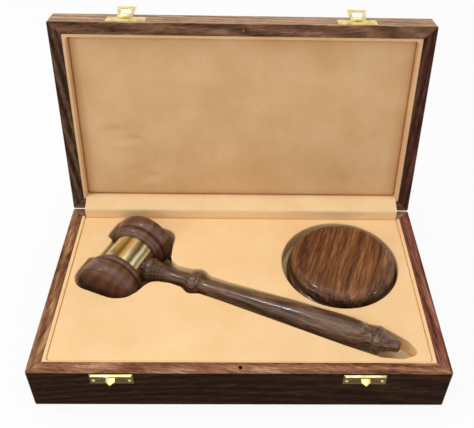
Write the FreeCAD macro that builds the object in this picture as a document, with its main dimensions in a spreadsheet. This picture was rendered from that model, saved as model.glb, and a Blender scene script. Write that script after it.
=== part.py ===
import FreeCAD, Part
import math
import os
import re
from FreeCAD import Placement, Rotation, Vector

# A presentation gavel set: a hinged hardwood case whose cloth-covered insert holds a turned gavel
# with a brass band and its round sound block. The origin is the centre of the case's underside,
# +X to the right, -Y to the front where the latches are, +Z up. All lengths are in millimetres.
# The lid is drawn closed and then turned open about the hinge pins.

doc = FreeCAD.newDocument("gavel_set")
sheet = doc.addObject("Spreadsheet::Sheet", "Sizes")

SIZES = {
    # case
    "case_length": 320,
    "case_depth": 182,
    "base_height": 42,
    "lid_height": 21.5,
    "base_wall": 9.8,
    "lid_wall": 10.5,
    "base_board": 3.0,
    "lid_board": 3.0,
    "board_rebate": 5,
    "parting_gap": 0.4,
    "corner_round": 1.4,
    "edge_round": 0.8,
    "rim_round": 0.3,
    "open_angle": 98,
    # lining and insert
    "side_lining": 2.9,
    "front_lining": 1.4,
    "lid_lining": 2.8,
    "hinge_side_lining": 1.3,
    "lining_drop": 0.2,
    "seat_gap": 0.3,
    "insert_drop": 0.8,
    "well_cloth": 0.5,
    "pad_depth": 5.8,
    "pad_crown": 1.6,
    # cloth strip over the hinges
    "cover_cloth": 0.8,
    "cover_height": 9.2,
    "cover_tuck": 6,
    "cover_bend": 1.8,
    # hinges
    "hinge_inset": 60,
    "hinge_length": 50,
    "leaf_sheet": 1.1,
    "leaf_width": 8,
    "barrel_radius": 2.0,
    "barrel_length": 36,
    "barrel_offset": 0.1,
    "barrel_clearance": 0.3,
    "pin_radius": 1.0,
    "running_clearance": 0.05,
    "stop_tab": 6,
    "screw_radius": 1.1,
    "screw_head_radius": 1.9,
    "screw_head": 0.9,
    "screw_length": 9,
    "screw_spacing": 30,
    # latches
    "left_latch_inset": 63.6,
    "right_latch_inset": 66.2,
    "plate_length": 32.5,
    "plate_height": 10.8,
    "plate_sheet": 0.8,
    "plate_edge_gap": 1.2,
    "lip_reach": 2.5,
    "lip_trim": 1,
    "nail_radius": 0.6,
    "nail_head_radius": 1.3,
    "nail_head": 0.6,
    "nail_length": 7,
    "nail_inset": 2.8,
    "nail_drop": 8.3,
    "pivot_reach": 3.5,
    "pivot_rise": 4.6,
    "pivot_radius": 0.9,
    "curl_radius": 2.1,
    "curl_width": 7,
    "bail_length": 13.2,
    "bail_root_width": 12.2,
    "bail_end_width": 15.7,
    "bail_arm": 1.75,
    "bail_bar": 2.4,
    "bail_sheet": 1.0,
    "bail_rest": 17,
    "quarter_turn": 90,
    "hook_width": 6.8,
    "hook_reach": 8.0,
    "hook_shoulder": 5.2,
    "hook_drop": 2.6,
    "hook_slope": 12,
    # locating dowel in the middle of the lid's front rim
    "dowel_radius": 1.1,
    "dowel_length": 9,
    "dowel_proud": 3,
    "dowel_clearance": 0.4,
    # gavel
    "head_side_inset": 58.2,
    "head_back_inset": 60.1,
    "gavel_turn": -23.1,
    "handle_rise": 2.1,
    "head_radius": 27.6,
    "head_half_length": 39,
    "waist_radius": 19.7,
    "band_sheet": 0.6,
    "band_half_width": 13.3,
    "band_gap_angle": 30,
    "handle_length": 246.6,
    "grip_radius": 11.6,
    "tenon_radius": 6.5,
    "tenon_depth": 16,
    # recess in the insert round the block
    "block_recess_radius": 51,
    "block_side_inset": 73.2,
    "block_back_inset": 67.7,
    # sound block
    "block_radius": 48.2,
    "block_height": 21.1,
    "block_felt": 1.2,
    "block_shift_x": 1.8,
    "block_shift_y": -1.6,
    # how far each cutting shape runs past what it cuts
    "overrun": 2,
}

for row, (name, value) in enumerate(SIZES.items(), 1):
    sheet.set(f"A{row}", name)
    sheet.set(f"B{row}", str(value))
    sheet.setAlias(f"B{row}", name)
doc.recompute()

X, Y, Z = Vector(1, 0, 0), Vector(0, 1, 0), Vector(0, 0, 1)
ALIASES = re.compile(r"\b(" + "|".join(SIZES) + r")\b")
RIM = sheet.base_height
LID_RIM = RIM + sheet.parting_gap
PARTING = RIM + sheet.parting_gap / 2
HINGE_AXIS = Vector(0, sheet.case_depth / 2 + sheet.barrel_offset, PARTING)
LID_OPEN = Placement(Vector(), Rotation(X, -sheet.open_angle), HINGE_AXIS)
HEAD_HEIGHT = sheet.base_board + sheet.well_cloth + sheet.seat_gap + sheet.head_radius
HEAD_X, HEAD_Y = sheet.head_side_inset - sheet.case_length / 2, sheet.case_depth / 2 - sheet.head_back_inset
GAVEL_PLACE = Placement(Vector(HEAD_X, HEAD_Y, HEAD_HEIGHT),
                        Rotation(Z, sheet.gavel_turn).multiply(Rotation(Y, -sheet.handle_rise)))
RECESS_PLACE = Placement(Vector(HEAD_X, HEAD_Y, 0), Rotation(Z, sheet.gavel_turn))
BLOCK_RECESS = Vector(sheet.case_length / 2 - sheet.block_side_inset,
                      sheet.case_depth / 2 - sheet.block_back_inset, 0)
GRIP_SHARE = 0.8
RECESS_FLOOR = (HEAD_HEIGHT + GRIP_SHARE * sheet.handle_length * math.sin(math.radians(sheet.handle_rise))
                - sheet.grip_radius - sheet.seat_gap)
BLOCK_BASE = RECESS_FLOOR + sheet.seat_gap
INSERT_TOP = RIM - sheet.insert_drop
HALF_BASE = sheet.case_length / 2 - sheet.base_wall
HALF_BASE_DEPTH = sheet.case_depth / 2 - sheet.base_wall
HALF_LID = sheet.case_length / 2 - sheet.lid_wall
HALF_LID_DEPTH = sheet.case_depth / 2 - sheet.lid_wall
RUN_SHARE = 0.45
kept = []


# Helpers that every sub-part uses

def bind(obj, **formulas):
    """Ties properties to the sheet. A dot in a property's name is written as two underscores."""
    for prop, formula in formulas.items():
        obj.setExpression(prop.replace("__", "."), ALIASES.sub(r"Sizes.\1", formula))
    return obj


def put(obj, corner):
    """Ties an object's place to three formulas."""
    bind(obj, Placement__Base__x=corner[0], Placement__Base__y=corner[1], Placement__Base__z=corner[2])
    return obj


def keep(obj, label, place=None):
    """Names a finished sub-part, sets it in its place and lists it for export."""
    if place is not None:
        holder = doc.addObject("Part::Compound", label + "_placed")
        holder.Links = [obj]
        holder.Placement = place
        obj = holder
    obj.Label = label
    kept.append(obj)
    return obj


def box(name, size, corner):
    """A box from three formulas of its size and three of its lowest corner."""
    obj = doc.addObject("Part::Box", name)
    bind(obj, Length=size[0], Width=size[1], Height=size[2])
    return put(obj, corner)


def made(name, shape):
    """A step or a sub-part whose shape comes from Part's own functions."""
    obj = doc.addObject("Part::Feature", name)
    obj.Shape = shape
    return obj


def cut(name, base, tool):
    obj = doc.addObject("Part::Cut", name)
    obj.Base, obj.Tool = base, tool
    return obj


def fuse(name, pieces):
    obj = doc.addObject("Part::MultiFuse", name)
    obj.Shapes = pieces
    obj.Refine = True
    return obj


def flat(points):
    """A face from its corners."""
    return Part.Face(Part.makePolygon(points + points[:1]))


def slab(low, high):
    """A box from its lowest and its highest corner."""
    span = high - low
    return Part.makeBox(span.x, span.y, span.z, low)


def rounded_outline(corners):
    """A closed wire through level corners, each with its rounding, which shrinks where its runs are short."""
    points = [point for point, radius in corners]
    bends = []
    for i, (corner, radius) in enumerate(corners):
        before, after = points[i - 1] - corner, points[(i + 1) % len(points)] - corner
        half_turn = (math.pi - before.getAngle(after)) / 2
        reach = min(radius * math.tan(half_turn), RUN_SHARE * min(before.Length, after.Length))
        arc_radius = reach / math.tan(half_turn)
        before.normalize()
        after.normalize()
        inward = (before + after).normalize()
        middle = corner + inward * (math.hypot(reach, arc_radius) - arc_radius)
        bends.append((corner + before * reach, middle, corner + after * reach))
    edges = []
    for i, (start, middle, end) in enumerate(bends):
        edges.append(Part.Arc(start, middle, end).toShape())
        edges.append(Part.makeLine(end, bends[(i + 1) % len(bends)][0]))
    return Part.Wire(edges)


def dome(rim, pole):
    """The arc between a point and the axis that meets the axis squarely, so that it turns into a cap."""
    way = 1 if pole.x > rim.x else -1
    rise = abs(pole.x - rim.x)
    radius = (rim.z ** 2 + rise ** 2) / (2 * rise)
    angle = math.asin(rim.z / radius) / 2
    middle = Vector(pole.x - way * radius * (1 - math.cos(angle)), 0, radius * math.sin(angle))
    return Part.Arc(rim, middle, pole).toShape()


def turned_section(profile, along, across):
    """The half section of a turned piece. Each station is a place along the axis, a radius and a bulge of
    the stretch that ends there, as shares of two sizes: above zero it swells, below zero it is hollowed.
    A station on the axis ends a domed cap."""
    stations = [Vector(place * along, 0, radius * across) for place, radius, bulge in profile]
    edges = []
    for last, end, bulge in zip(stations, stations[1:], [station[2] for station in profile[1:]]):
        if end.z == 0:
            edges.append(dome(last, end))
        elif last.z == 0:
            edges.append(dome(end, last))
        elif bulge:
            run = end - last
            outward = Vector(-run.z, 0, run.x).normalize()
            edges.append(Part.Arc(last, (last + end) / 2 + outward * bulge * across, end).toShape())
        else:
            edges.append(Part.makeLine(last, end))
    foot, head = Vector(stations[0].x, 0, 0), Vector(stations[-1].x, 0, 0)
    for a, b in ((stations[-1], head), (head, foot), (foot, stations[0])):
        if a != b:
            edges.append(Part.makeLine(a, b))
    return Part.Face(Part.Wire(Part.sortEdges(edges)[0]))


def turned(name, section):
    """Turns a half section round the X axis."""
    obj = doc.addObject("Part::Revolution", name)
    obj.Source = made(name + "_section", section)
    obj.Axis, obj.Base, obj.Angle, obj.Solid = X, Vector(), 360, True
    return obj


# Case walls: solid boards, mitred at the corners, rebated for the thin board that closes the case

def eased_block(name, height, z):
    """The outside of one half of the case: its upright corners rounded, its level edges eased, and the
    edges of the sawn rim only just broken."""
    low = Vector(-sheet.case_length / 2, -sheet.case_depth / 2, z)
    solid = slab(low, Vector(-low.x, -low.y, z + height))
    upright = [edge for edge in solid.Edges if edge.BoundBox.ZLength > height / 2]
    solid = solid.makeFillet(sheet.corner_round, upright)
    for level in (z, z + height):
        radius = sheet.rim_round if abs(level - PARTING) < height / 2 else sheet.edge_round
        ring = [edge for edge in solid.Edges if edge.BoundBox.ZLength < radius / 2
                and abs(edge.BoundBox.Center.z - level) < radius / 2]
        solid = solid.makeFillet(radius, ring)
    return made(name, solid)


def mitred_board(name, length, height, wall, turn, corner):
    """A wall board with 45 degree ends, its outer face on one side of the case."""
    obj = doc.addObject("Part::Wedge", name)
    obj.Xmin = obj.Ymin = obj.Zmin = obj.Z2min = 0
    bind(obj, Xmax=length, X2min=wall, X2max=f"{length} - {wall}", Ymax=wall, Zmax=height, Z2max=height)
    obj.Placement.Rotation = Rotation(Z, turn)
    return put(obj, corner)


def case_walls(half, height, z_value, z, board, rebate_z):
    """The four walls of the base or of the lid, before any hinge is let in."""
    block = eased_block(half + "_block", getattr(sheet, height), z_value)
    wall = half + "_wall"
    inset = f"({wall} - board_rebate)"
    rebate = box(half + "_rebate", (f"case_length - 2 * {inset}", f"case_depth - 2 * {inset}", board),
                 (f"{inset} - case_length / 2", f"{inset} - case_depth / 2", rebate_z))
    right, left, back, front = "case_length / 2", "-case_length / 2", "case_depth / 2", "-case_depth / 2"
    sides = {"front": ("case_length", 0, (left, front, z)), "back": ("case_length", 180, (right, back, z)),
             "left": ("case_depth", -90, (left, back, z)), "right": ("case_depth", 90, (right, front, z))}
    walls = {}
    for side, (length, turn, corner) in sides.items():
        eased = doc.addObject("Part::MultiCommon", f"{half}_{side}_eased")
        eased.Shapes = [block, mitred_board(f"{half}_{side}_board", length, height, wall, turn, corner)]
        walls[side] = cut(f"{half}_{side}_rebated", eased, rebate)
    return walls


def closing_board(half, z):
    """The thin board let into the rebates."""
    inset, board = f"({half}_wall - board_rebate)", half + "_board"
    return box(half + "_closing", (f"case_length - 2 * {inset}", f"case_depth - 2 * {inset}", board),
               (f"{inset} - case_length / 2", f"{inset} - case_depth / 2", z))


# Hinges: brass butts let into the rims, with tabs behind the case on which the open lid comes to rest

def barrel_piece(x, start, end, radius):
    """A round length on the hinge axis, between two places counted from the hinge's middle."""
    return Part.makeCylinder(radius, end - start, HINGE_AXIS + X * (x + start), X)


def hinge_screws(name, x, up):
    """Two countersunk screws, heads flush with the leaf; up is 1 in the base and -1 in the lid."""
    face = RIM if up > 0 else LID_RIM
    y = HINGE_AXIS.y - sheet.leaf_width + (sheet.leaf_width - sheet.barrel_radius) / 2
    screws = []
    for side in (-1, 1):
        top = Vector(x + side * sheet.screw_spacing / 2, y, face)
        head = Part.makeCone(sheet.screw_head_radius, sheet.screw_radius, sheet.screw_head, top, -Z * up)
        screws.append(head.fuse(Part.makeCylinder(sheet.screw_radius, sheet.screw_length, top, -Z * up)))
    return made(name, Part.makeCompound([screw.removeSplitter() for screw in screws]))


def hinge_leaf(name, x, up, screws):
    """One leaf: the base's carries the two outer knuckles and the stop tabs, the lid's the middle one."""
    z_low, z_high = (RIM - sheet.leaf_sheet, RIM) if up > 0 else (LID_RIM, LID_RIM + sheet.leaf_sheet)
    half, knuckle = sheet.hinge_length / 2, sheet.barrel_length / 6
    y_in = HINGE_AXIS.y - sheet.leaf_width
    y_clear = HINGE_AXIS.y - sheet.barrel_radius - sheet.barrel_clearance
    solid = slab(Vector(x - half, y_in, z_low), Vector(x + half, y_clear, z_high))
    gap = sheet.barrel_clearance / 2
    spans = [(-knuckle + gap, knuckle - gap)]
    if up > 0:
        spans = [(-3 * knuckle, -knuckle - gap), (knuckle + gap, 3 * knuckle)]
    for start, end in spans:
        tongue = slab(Vector(x + start, y_clear, z_low), Vector(x + end, HINGE_AXIS.y, z_high))
        solid = solid.fuse([tongue, barrel_piece(x, start, end, sheet.barrel_radius)])
    if up > 0:
        turn = math.radians(sheet.open_angle)
        drop = sheet.parting_gap / 2
        lean = (sheet.barrel_offset * math.sin(turn) + drop) / -math.cos(turn)
        reach = lean * math.sin(turn) - sheet.barrel_offset * math.cos(turn) - sheet.running_clearance
        for start, end in ((-half, -half + sheet.stop_tab), (half - sheet.stop_tab, half)):
            tab = slab(Vector(x + start, y_clear, z_low), Vector(x + end, HINGE_AXIS.y + reach, z_high))
            solid = solid.fuse(tab)
    bore = sheet.pin_radius if up > 0 else sheet.pin_radius + sheet.running_clearance
    solid = solid.cut(barrel_piece(x, -half, half, bore))
    return cut(name, made(name + "_blank", solid.removeSplitter()), screws)


def hinge_pocket(x, up):
    """What is cut from a back wall for one hinge: the leaf's seat and the round of the barrel."""
    z_low, z_high = (RIM - sheet.leaf_sheet, RIM + sheet.overrun) if up > 0 else (
        LID_RIM - sheet.overrun, LID_RIM + sheet.leaf_sheet)
    half = sheet.hinge_length / 2
    seat = slab(Vector(x - half, HINGE_AXIS.y - sheet.leaf_width, z_low),
                Vector(x + half, HINGE_AXIS.y + sheet.overrun, z_high))
    notch = sheet.barrel_length / 2 + sheet.barrel_clearance
    return seat.fuse(barrel_piece(x, -notch, notch, sheet.barrel_radius + sheet.barrel_clearance))


def hinge_pin(name, x):
    obj = doc.addObject("Part::Cylinder", name)
    bind(obj, Radius="pin_radius", Height="barrel_length")
    obj.Placement.Rotation = Rotation(Z, X)
    return put(obj, (f"{x} - barrel_length / 2", "case_depth / 2 + barrel_offset",
                     "base_height + parting_gap / 2"))


# Latches: a sheet brass plate on the lid with a bail in its curl, and a plate with a hook on the base.
# Each is drawn at the case's front, with the height counted from the parting line.

def at_front(x, out, rise):
    """A point in front of the case, by its place across, how far it stands out and its height."""
    return Vector(x, -sheet.case_depth / 2 - out, PARTING + rise)


def front_slab(x_low, x_high, out_low, out_high, rise_low, rise_high):
    return slab(at_front(x_low, out_high, rise_low), at_front(x_high, out_low, rise_high))


def latch_nails(name, x, up):
    """Two dome-headed nails through a plate; up is 1 on the lid and -1 on the base."""
    nails = []
    for side in (-1, 1):
        place = x + side * (sheet.plate_length / 2 - sheet.nail_inset)
        seat = at_front(place, sheet.plate_sheet, up * sheet.nail_drop)
        ball = (sheet.nail_head_radius ** 2 + sheet.nail_head ** 2) / (2 * sheet.nail_head)
        dome = Part.makeSphere(ball, seat + Y * (ball - sheet.nail_head))
        dome = dome.common(Part.makeCylinder(ball, ball, seat, -Y))
        shank = Part.makeCylinder(sheet.nail_radius, sheet.nail_length, seat, Y)
        nails.append(dome.fuse(shank).removeSplitter())
    return made(name, Part.makeCompound(nails))


def latch_plate(x, up):
    """The flat of a plate and the lip folded out along its edge at the parting line."""
    half = sheet.plate_length / 2
    edge, far, fold = sheet.plate_edge_gap, sheet.plate_height, sheet.plate_sheet
    low, high = sorted((up * edge, up * (edge + far)))
    solid = front_slab(x - half, x + half, 0, fold, low, high)
    low, high = sorted((up * edge, up * (edge + fold)))
    trim = half - sheet.lip_trim
    return solid.fuse(front_slab(x - trim, x + trim, fold, sheet.lip_reach, low, high))


def lid_latch_plate(name, x, nails):
    """The lid's plate, with a tongue curled round the bail's bar."""
    centre = at_front(x - sheet.curl_width / 2, sheet.pivot_reach, sheet.pivot_rise)
    top = sheet.pivot_rise + sheet.curl_radius
    half = sheet.curl_width / 2
    tongue = front_slab(x - half, x + half, sheet.plate_sheet / 2, sheet.pivot_reach,
                        top - sheet.plate_sheet, top)
    curl = Part.makeCylinder(sheet.curl_radius, sheet.curl_width, centre, X)
    solid = latch_plate(x, 1).fuse([tongue, curl])
    bore = Part.makeCylinder(sheet.pivot_radius + sheet.running_clearance,
                             sheet.curl_width + 2 * sheet.overrun, centre - X * sheet.overrun, X)
    return cut(name, made(name + "_blank", solid.cut(bore).removeSplitter()), nails)


def catch_plate(name, x, nails):
    """The base's plate, with a pointed hook that stands out and slopes down."""
    half, drop = sheet.hook_width / 2, -sheet.hook_drop
    points = [at_front(x - half, 0, drop), at_front(x + half, 0, drop),
              at_front(x + half, sheet.hook_shoulder, drop), at_front(x, sheet.hook_reach, drop),
              at_front(x - half, sheet.hook_shoulder, drop)]
    hook = flat(points).extrude(-Z * sheet.plate_sheet)
    hook.rotate(at_front(x, 0, drop), X, sheet.hook_slope)
    back = front_slab(x - half, x + half, -sheet.overrun, 0, -sheet.plate_height, 0)
    solid = latch_plate(x, -1).fuse(hook.cut(back))
    return cut(name, made(name + "_blank", solid.removeSplitter()), nails)


def latch_bail(name, x):
    """The flat frame that swings on the lid's plate, drawn standing straight out from it."""
    def corner(across, along):
        return at_front(x + across, sheet.pivot_reach + along, sheet.pivot_rise - sheet.bail_sheet / 2)
    root, end, far = sheet.bail_root_width / 2, sheet.bail_end_width / 2, sheet.bail_length
    arm, bar = sheet.bail_arm, sheet.bail_bar
    outer = flat([corner(-root, 0), corner(root, 0), corner(end, far), corner(-end, far)])
    near = sheet.pivot_radius
    inner = flat([corner(arm - root, -near), corner(root - arm, -near),
                  corner(end - arm * 2, far - bar), corner(arm * 2 - end, far - bar)])
    rod = Part.makeCylinder(sheet.pivot_radius, sheet.bail_root_width,
                            at_front(x - root, sheet.pivot_reach, sheet.pivot_rise), X)
    frame = outer.extrude(Z * sheet.bail_sheet).cut(inner.extrude(Z * sheet.bail_sheet))
    return made(name, frame.fuse(rod).removeSplitter())


def bail_place(x):
    """Turns a bail back over its plate, and then with the lid."""
    back = sheet.bail_rest - sheet.quarter_turn
    swung = Placement(Vector(), Rotation(X, back), at_front(x, sheet.pivot_reach, sheet.pivot_rise))
    return LID_OPEN.multiply(swung)


# Recesses: the outlines that are cut in the insert round the gavel, from above and in the gavel's frame.
# Round the head each corner is a place along the handle, a place along the head's axis and a rounding,
# as shares of the head's radius, of half its length and of its radius. Along the handle each is a place
# and a half width, as shares of the handle's length and of the grip's radius.

HEAD_NEAR_SHARES = [(-1.03, -1.228, 0.72), (0.489, -1.22, 0.8), (0.888, -1.085, 0.7), (1.072, -0.846, 0.6),
                    (1.152, -0.615, 0.4), (1.254, -0.477, 0.3)]
HEAD_FAR_SHARES = [(1.377, 0.308, 0.3), (1.181, 0.646, 0.5), (0.985, 1.115, 0.55), (-1.03, 1.115, 0.55),
                   (-1.03, 0.37, 0.15), (-0.76, 0.3, 0.15), (-0.76, -0.3, 0.15), (-1.03, -0.37, 0.15)]
CHANNEL_NEAR_SHARES = [(0.163, 1.33), (0.204, 1.13), (0.247, 1.13), (0.281, 1.5), (0.3175, 1.17),
                       (0.396, 1.16), (0.608, 1.24), (0.83, 1.33), (0.953, 1.3), (1.018, 0.845), (1.062, 0)]
CHANNEL_FAR_SHARES = [(0.1914, 0.612), (0.2466, 0.74), (0.2795, 1.09), (0.32, 0.68), (0.393, 0.67),
                      (0.608, 0.96), (0.831, 1.164), (0.884, 1.0), (0.9185, 1.16), (0.988, 0.836),
                      (1.02, 0.65)]
CHANNEL_ROUND_SHARE = 0.6
WELL_SHARE, CHANNEL_SHARE = 0.33, 2


def recess_outline(limit):
    """The outline round the head and along the handle, as far as a share of the handle's length."""
    length, grip = sheet.handle_length, sheet.grip_radius
    head = [[(Vector(a * sheet.head_radius, b * sheet.head_half_length, 0), r * sheet.head_radius)
             for a, b, r in shares] for shares in (HEAD_NEAR_SHARES, HEAD_FAR_SHARES)]
    channel = [[(Vector(a * length, side * b * grip, 0), CHANNEL_ROUND_SHARE * grip)
                for a, b in shares if a < limit] for shares, side in
               ((CHANNEL_NEAR_SHARES, -1), (CHANNEL_FAR_SHARES, 1))]
    return rounded_outline(head[0] + channel[0] + channel[1][::-1] + head[1])


def recess_tool(outline, low, high):
    """The cutting shape of a recess, between two heights."""
    solid = Part.Face(outline).extrude(Z * (high - low))
    solid.Placement = Placement(Vector(0, 0, low), Rotation()).multiply(RECESS_PLACE)
    return solid


def insert_layer(name, low, high, tools):
    """One layer of the insert, less its recesses."""
    half = HALF_BASE - sheet.side_lining - sheet.seat_gap
    front = -HALF_BASE_DEPTH + sheet.front_lining + sheet.seat_gap
    back = HALF_BASE_DEPTH - sheet.cover_cloth - 2 * sheet.seat_gap - sheet.running_clearance
    return made(name, slab(Vector(-half, front, low), Vector(half, back, high)).cut(tools))


# The base, outside to inside

def fixings(name, maker, places, up):
    """The screws or the nails of both hinges or of both latches, as one sub-part."""
    holder = doc.addObject("Part::Compound", name)
    holder.Links = [maker(f"{name}_{side}", x, up) for side, x in places.items()]
    return holder


walls = case_walls("base", "base_height", 0, "0", "base_board", "0")
hinge_places = {"left": sheet.hinge_inset - sheet.case_length / 2,
                "right": sheet.case_length / 2 - sheet.hinge_inset}
latch_places = {"left": sheet.left_latch_inset - sheet.case_length / 2,
                "right": sheet.case_length / 2 - sheet.right_latch_inset}

base_screws = fixings("base_hinge_screws", hinge_screws, hinge_places, 1)
base_nails = fixings("catch_plate_nails", latch_nails, latch_places, -1)
pocket = made("base_hinge_pockets", Part.makeCompound([hinge_pocket(x, 1) for x in hinge_places.values()]))
dowel_y = (sheet.lid_wall - sheet.case_depth) / 2
dowel_hole = made("dowel_hole", Part.makeCylinder(
    sheet.dowel_radius + sheet.dowel_clearance, sheet.dowel_proud + 2 * sheet.overrun,
    Vector(0, dowel_y, RIM + sheet.overrun), -Z))
front_wall = cut("base_front_wall_holed", walls["front"], dowel_hole)
back_wall = cut("base_back_wall_cut", walls["back"], pocket)
keep(cut("base_front_wall_drilled", front_wall, base_nails), "base_front_wall")
keep(cut("base_back_wall_drilled", back_wall, base_screws), "base_back_wall")
keep(walls["left"], "base_left_wall")
keep(walls["right"], "base_right_wall")
keep(closing_board("base", "0"), "base_bottom_board")

lining_height = "base_height - base_board - lining_drop"
inside, inside_depth = "(case_length - 2 * base_wall)", "(case_depth - 2 * base_wall)"
keep(box("front_lining_box", (inside, "front_lining", lining_height),
         (f"-{inside} / 2", f"-{inside_depth} / 2", "base_board")), "base_front_lining")
for side, x in (("left", f"-{inside} / 2"), ("right", f"{inside} / 2 - side_lining")):
    strip = box(side + "_lining_box", ("side_lining", inside_depth + " - front_lining", lining_height),
                (x, f"front_lining - {inside_depth} / 2", "base_board"))
    keep(strip, f"base_{side}_lining")

well = recess_tool(recess_outline(WELL_SHARE), sheet.base_board - sheet.overrun, RIM)
channel = recess_tool(recess_outline(CHANNEL_SHARE), RECESS_FLOOR - sheet.overrun, RIM)
block_tool = Part.makeCylinder(sheet.block_recess_radius, RIM,
                               BLOCK_RECESS + Z * (RECESS_FLOOR - sheet.overrun))
keep(insert_layer("insert_core_layer", sheet.base_board, RECESS_FLOOR, [well]), "insert_core")
keep(insert_layer("insert_top_layer", RECESS_FLOOR, INSERT_TOP, [channel, block_tool]), "insert_top")

CLOTH_SHARES = [(-0.73, -1.19, 0.5), (1, -1.19, 0.7), (0.95, 1.08, 0.5), (-0.73, 1.08, 0.4)]
cloth_corners = [(Vector(a * sheet.head_radius, b * sheet.head_half_length, 0), r * sheet.head_radius)
                 for a, b, r in CLOTH_SHARES]
cloth = recess_tool(rounded_outline(cloth_corners), sheet.base_board, sheet.base_board + sheet.well_cloth)
keep(made("well_cloth_piece", cloth), "head_well_cloth")

for side, x in hinge_places.items():
    keep(hinge_leaf(f"base_{side}_leaf", x, 1, base_screws), f"{side}_hinge_base_leaf")
keep(hinge_pin("left_pin", "hinge_inset - case_length / 2"), "left_hinge_pin")
keep(hinge_pin("right_pin", "case_length / 2 - hinge_inset"), "right_hinge_pin")
for side, x in latch_places.items():
    keep(catch_plate(f"base_{side}_catch", x, base_nails), f"{side}_catch_plate")
keep(base_screws, "base_hinge_screws")
keep(base_nails, "catch_plate_nails")

# The lid, drawn closed and turned open

lid_z = "base_height + parting_gap"
lid_inside = lid_z + " + lid_height - lid_board"
lid_walls = case_walls("lid", "lid_height", LID_RIM, lid_z, "lid_board", lid_inside)
lid_screws = fixings("lid_hinge_screws_closed", hinge_screws, hinge_places, -1)
lid_nails = fixings("latch_plate_nails_closed", latch_nails, latch_places, 1)
pocket = made("lid_hinge_pockets", Part.makeCompound([hinge_pocket(x, -1) for x in hinge_places.values()]))
dowel = Part.makeCylinder(sheet.dowel_radius, sheet.dowel_length,
                          Vector(0, dowel_y, LID_RIM - sheet.dowel_proud), Z)
front_wall = cut("lid_front_wall_holed", lid_walls["front"], made("dowel_seat", dowel))
back_wall = cut("lid_back_wall_cut", lid_walls["back"], pocket)
keep(cut("lid_front_wall_drilled", front_wall, lid_nails), "lid_front_wall", LID_OPEN)
keep(cut("lid_back_wall_drilled", back_wall, lid_screws), "lid_back_wall", LID_OPEN)
keep(lid_walls["left"], "lid_left_wall", LID_OPEN)
keep(lid_walls["right"], "lid_right_wall", LID_OPEN)
keep(closing_board("lid", lid_inside), "lid_top_board", LID_OPEN)
keep(made("dowel", dowel.makeFillet(sheet.dowel_radius / 2, dowel.Edges[2])), "lid_locating_dowel", LID_OPEN)

inside, inside_depth = "(case_length - 2 * lid_wall)", "(case_depth - 2 * lid_wall)"
lining_height = "lid_height - lid_board - lining_drop"
strip_z = lid_z + " + lining_drop"
for side, sheet_name, y in (("front", "lid_lining", f"-{inside_depth} / 2"),
                            ("back", "hinge_side_lining", f"{inside_depth} / 2 - hinge_side_lining")):
    strip = box(f"lid_{side}_strip", (inside, sheet_name, lining_height), (f"-{inside} / 2", y, strip_z))
    keep(strip, f"lid_{side}_lining", LID_OPEN)
for side, x in (("left", f"-{inside} / 2"), ("right", f"{inside} / 2 - lid_lining")):
    strip = box(f"lid_{side}_strip",
                ("lid_lining", inside_depth + " - lid_lining - hinge_side_lining", lining_height),
                (x, f"lid_lining - {inside_depth} / 2", strip_z))
    keep(strip, f"lid_{side}_lining", LID_OPEN)


def padded_panel():
    """The soft panel in the lid: a crown across its depth, and edges that are drawn back to the board."""
    half = HALF_LID - sheet.lid_lining - sheet.seat_gap
    near = sheet.lid_lining + sheet.seat_gap - HALF_LID_DEPTH
    far = HALF_LID_DEPTH - sheet.hinge_side_lining - sheet.seat_gap
    face, back = LID_RIM + sheet.pad_depth, LID_RIM + sheet.lid_height - sheet.lid_board
    corners = [Vector(-half, y, z) for y, z in ((near, face), (far, face), (far, back), (near, back))]
    middle = Vector(-half, (near + far) / 2, face - sheet.pad_crown)
    crown = Part.Arc(corners[0], middle, corners[1]).toShape()
    sides = [Part.makeLine(corners[i], corners[(i + 1) % 4]) for i in (1, 2, 3)]
    solid = Part.Face(Part.Wire([crown] + sides)).extrude(X * 2 * half)
    soft = [edge for edge in solid.Edges if edge.BoundBox.ZMax < face + sheet.pad_crown]
    return solid.makeFillet(sheet.pad_crown, soft)


keep(made("padded_panel", padded_panel()), "lid_pad", LID_OPEN)

for side, x in hinge_places.items():
    keep(hinge_leaf(f"lid_{side}_leaf", x, -1, lid_screws), f"{side}_hinge_lid_leaf", LID_OPEN)
for side, x in latch_places.items():
    keep(lid_latch_plate(f"lid_{side}_plate", x, lid_nails), f"{side}_latch_plate", LID_OPEN)
    keep(latch_bail(f"{side}_bail", x), f"{side}_latch_bail", bail_place(x))
keep(lid_screws, "lid_hinge_screws", LID_OPEN)
keep(lid_nails, "latch_plate_nails", LID_OPEN)


# The cloth strip that hides the hinges: up in front of the back wall, over the lid's rim, and along the
# lid's thin back lining as far as the pad

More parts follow.
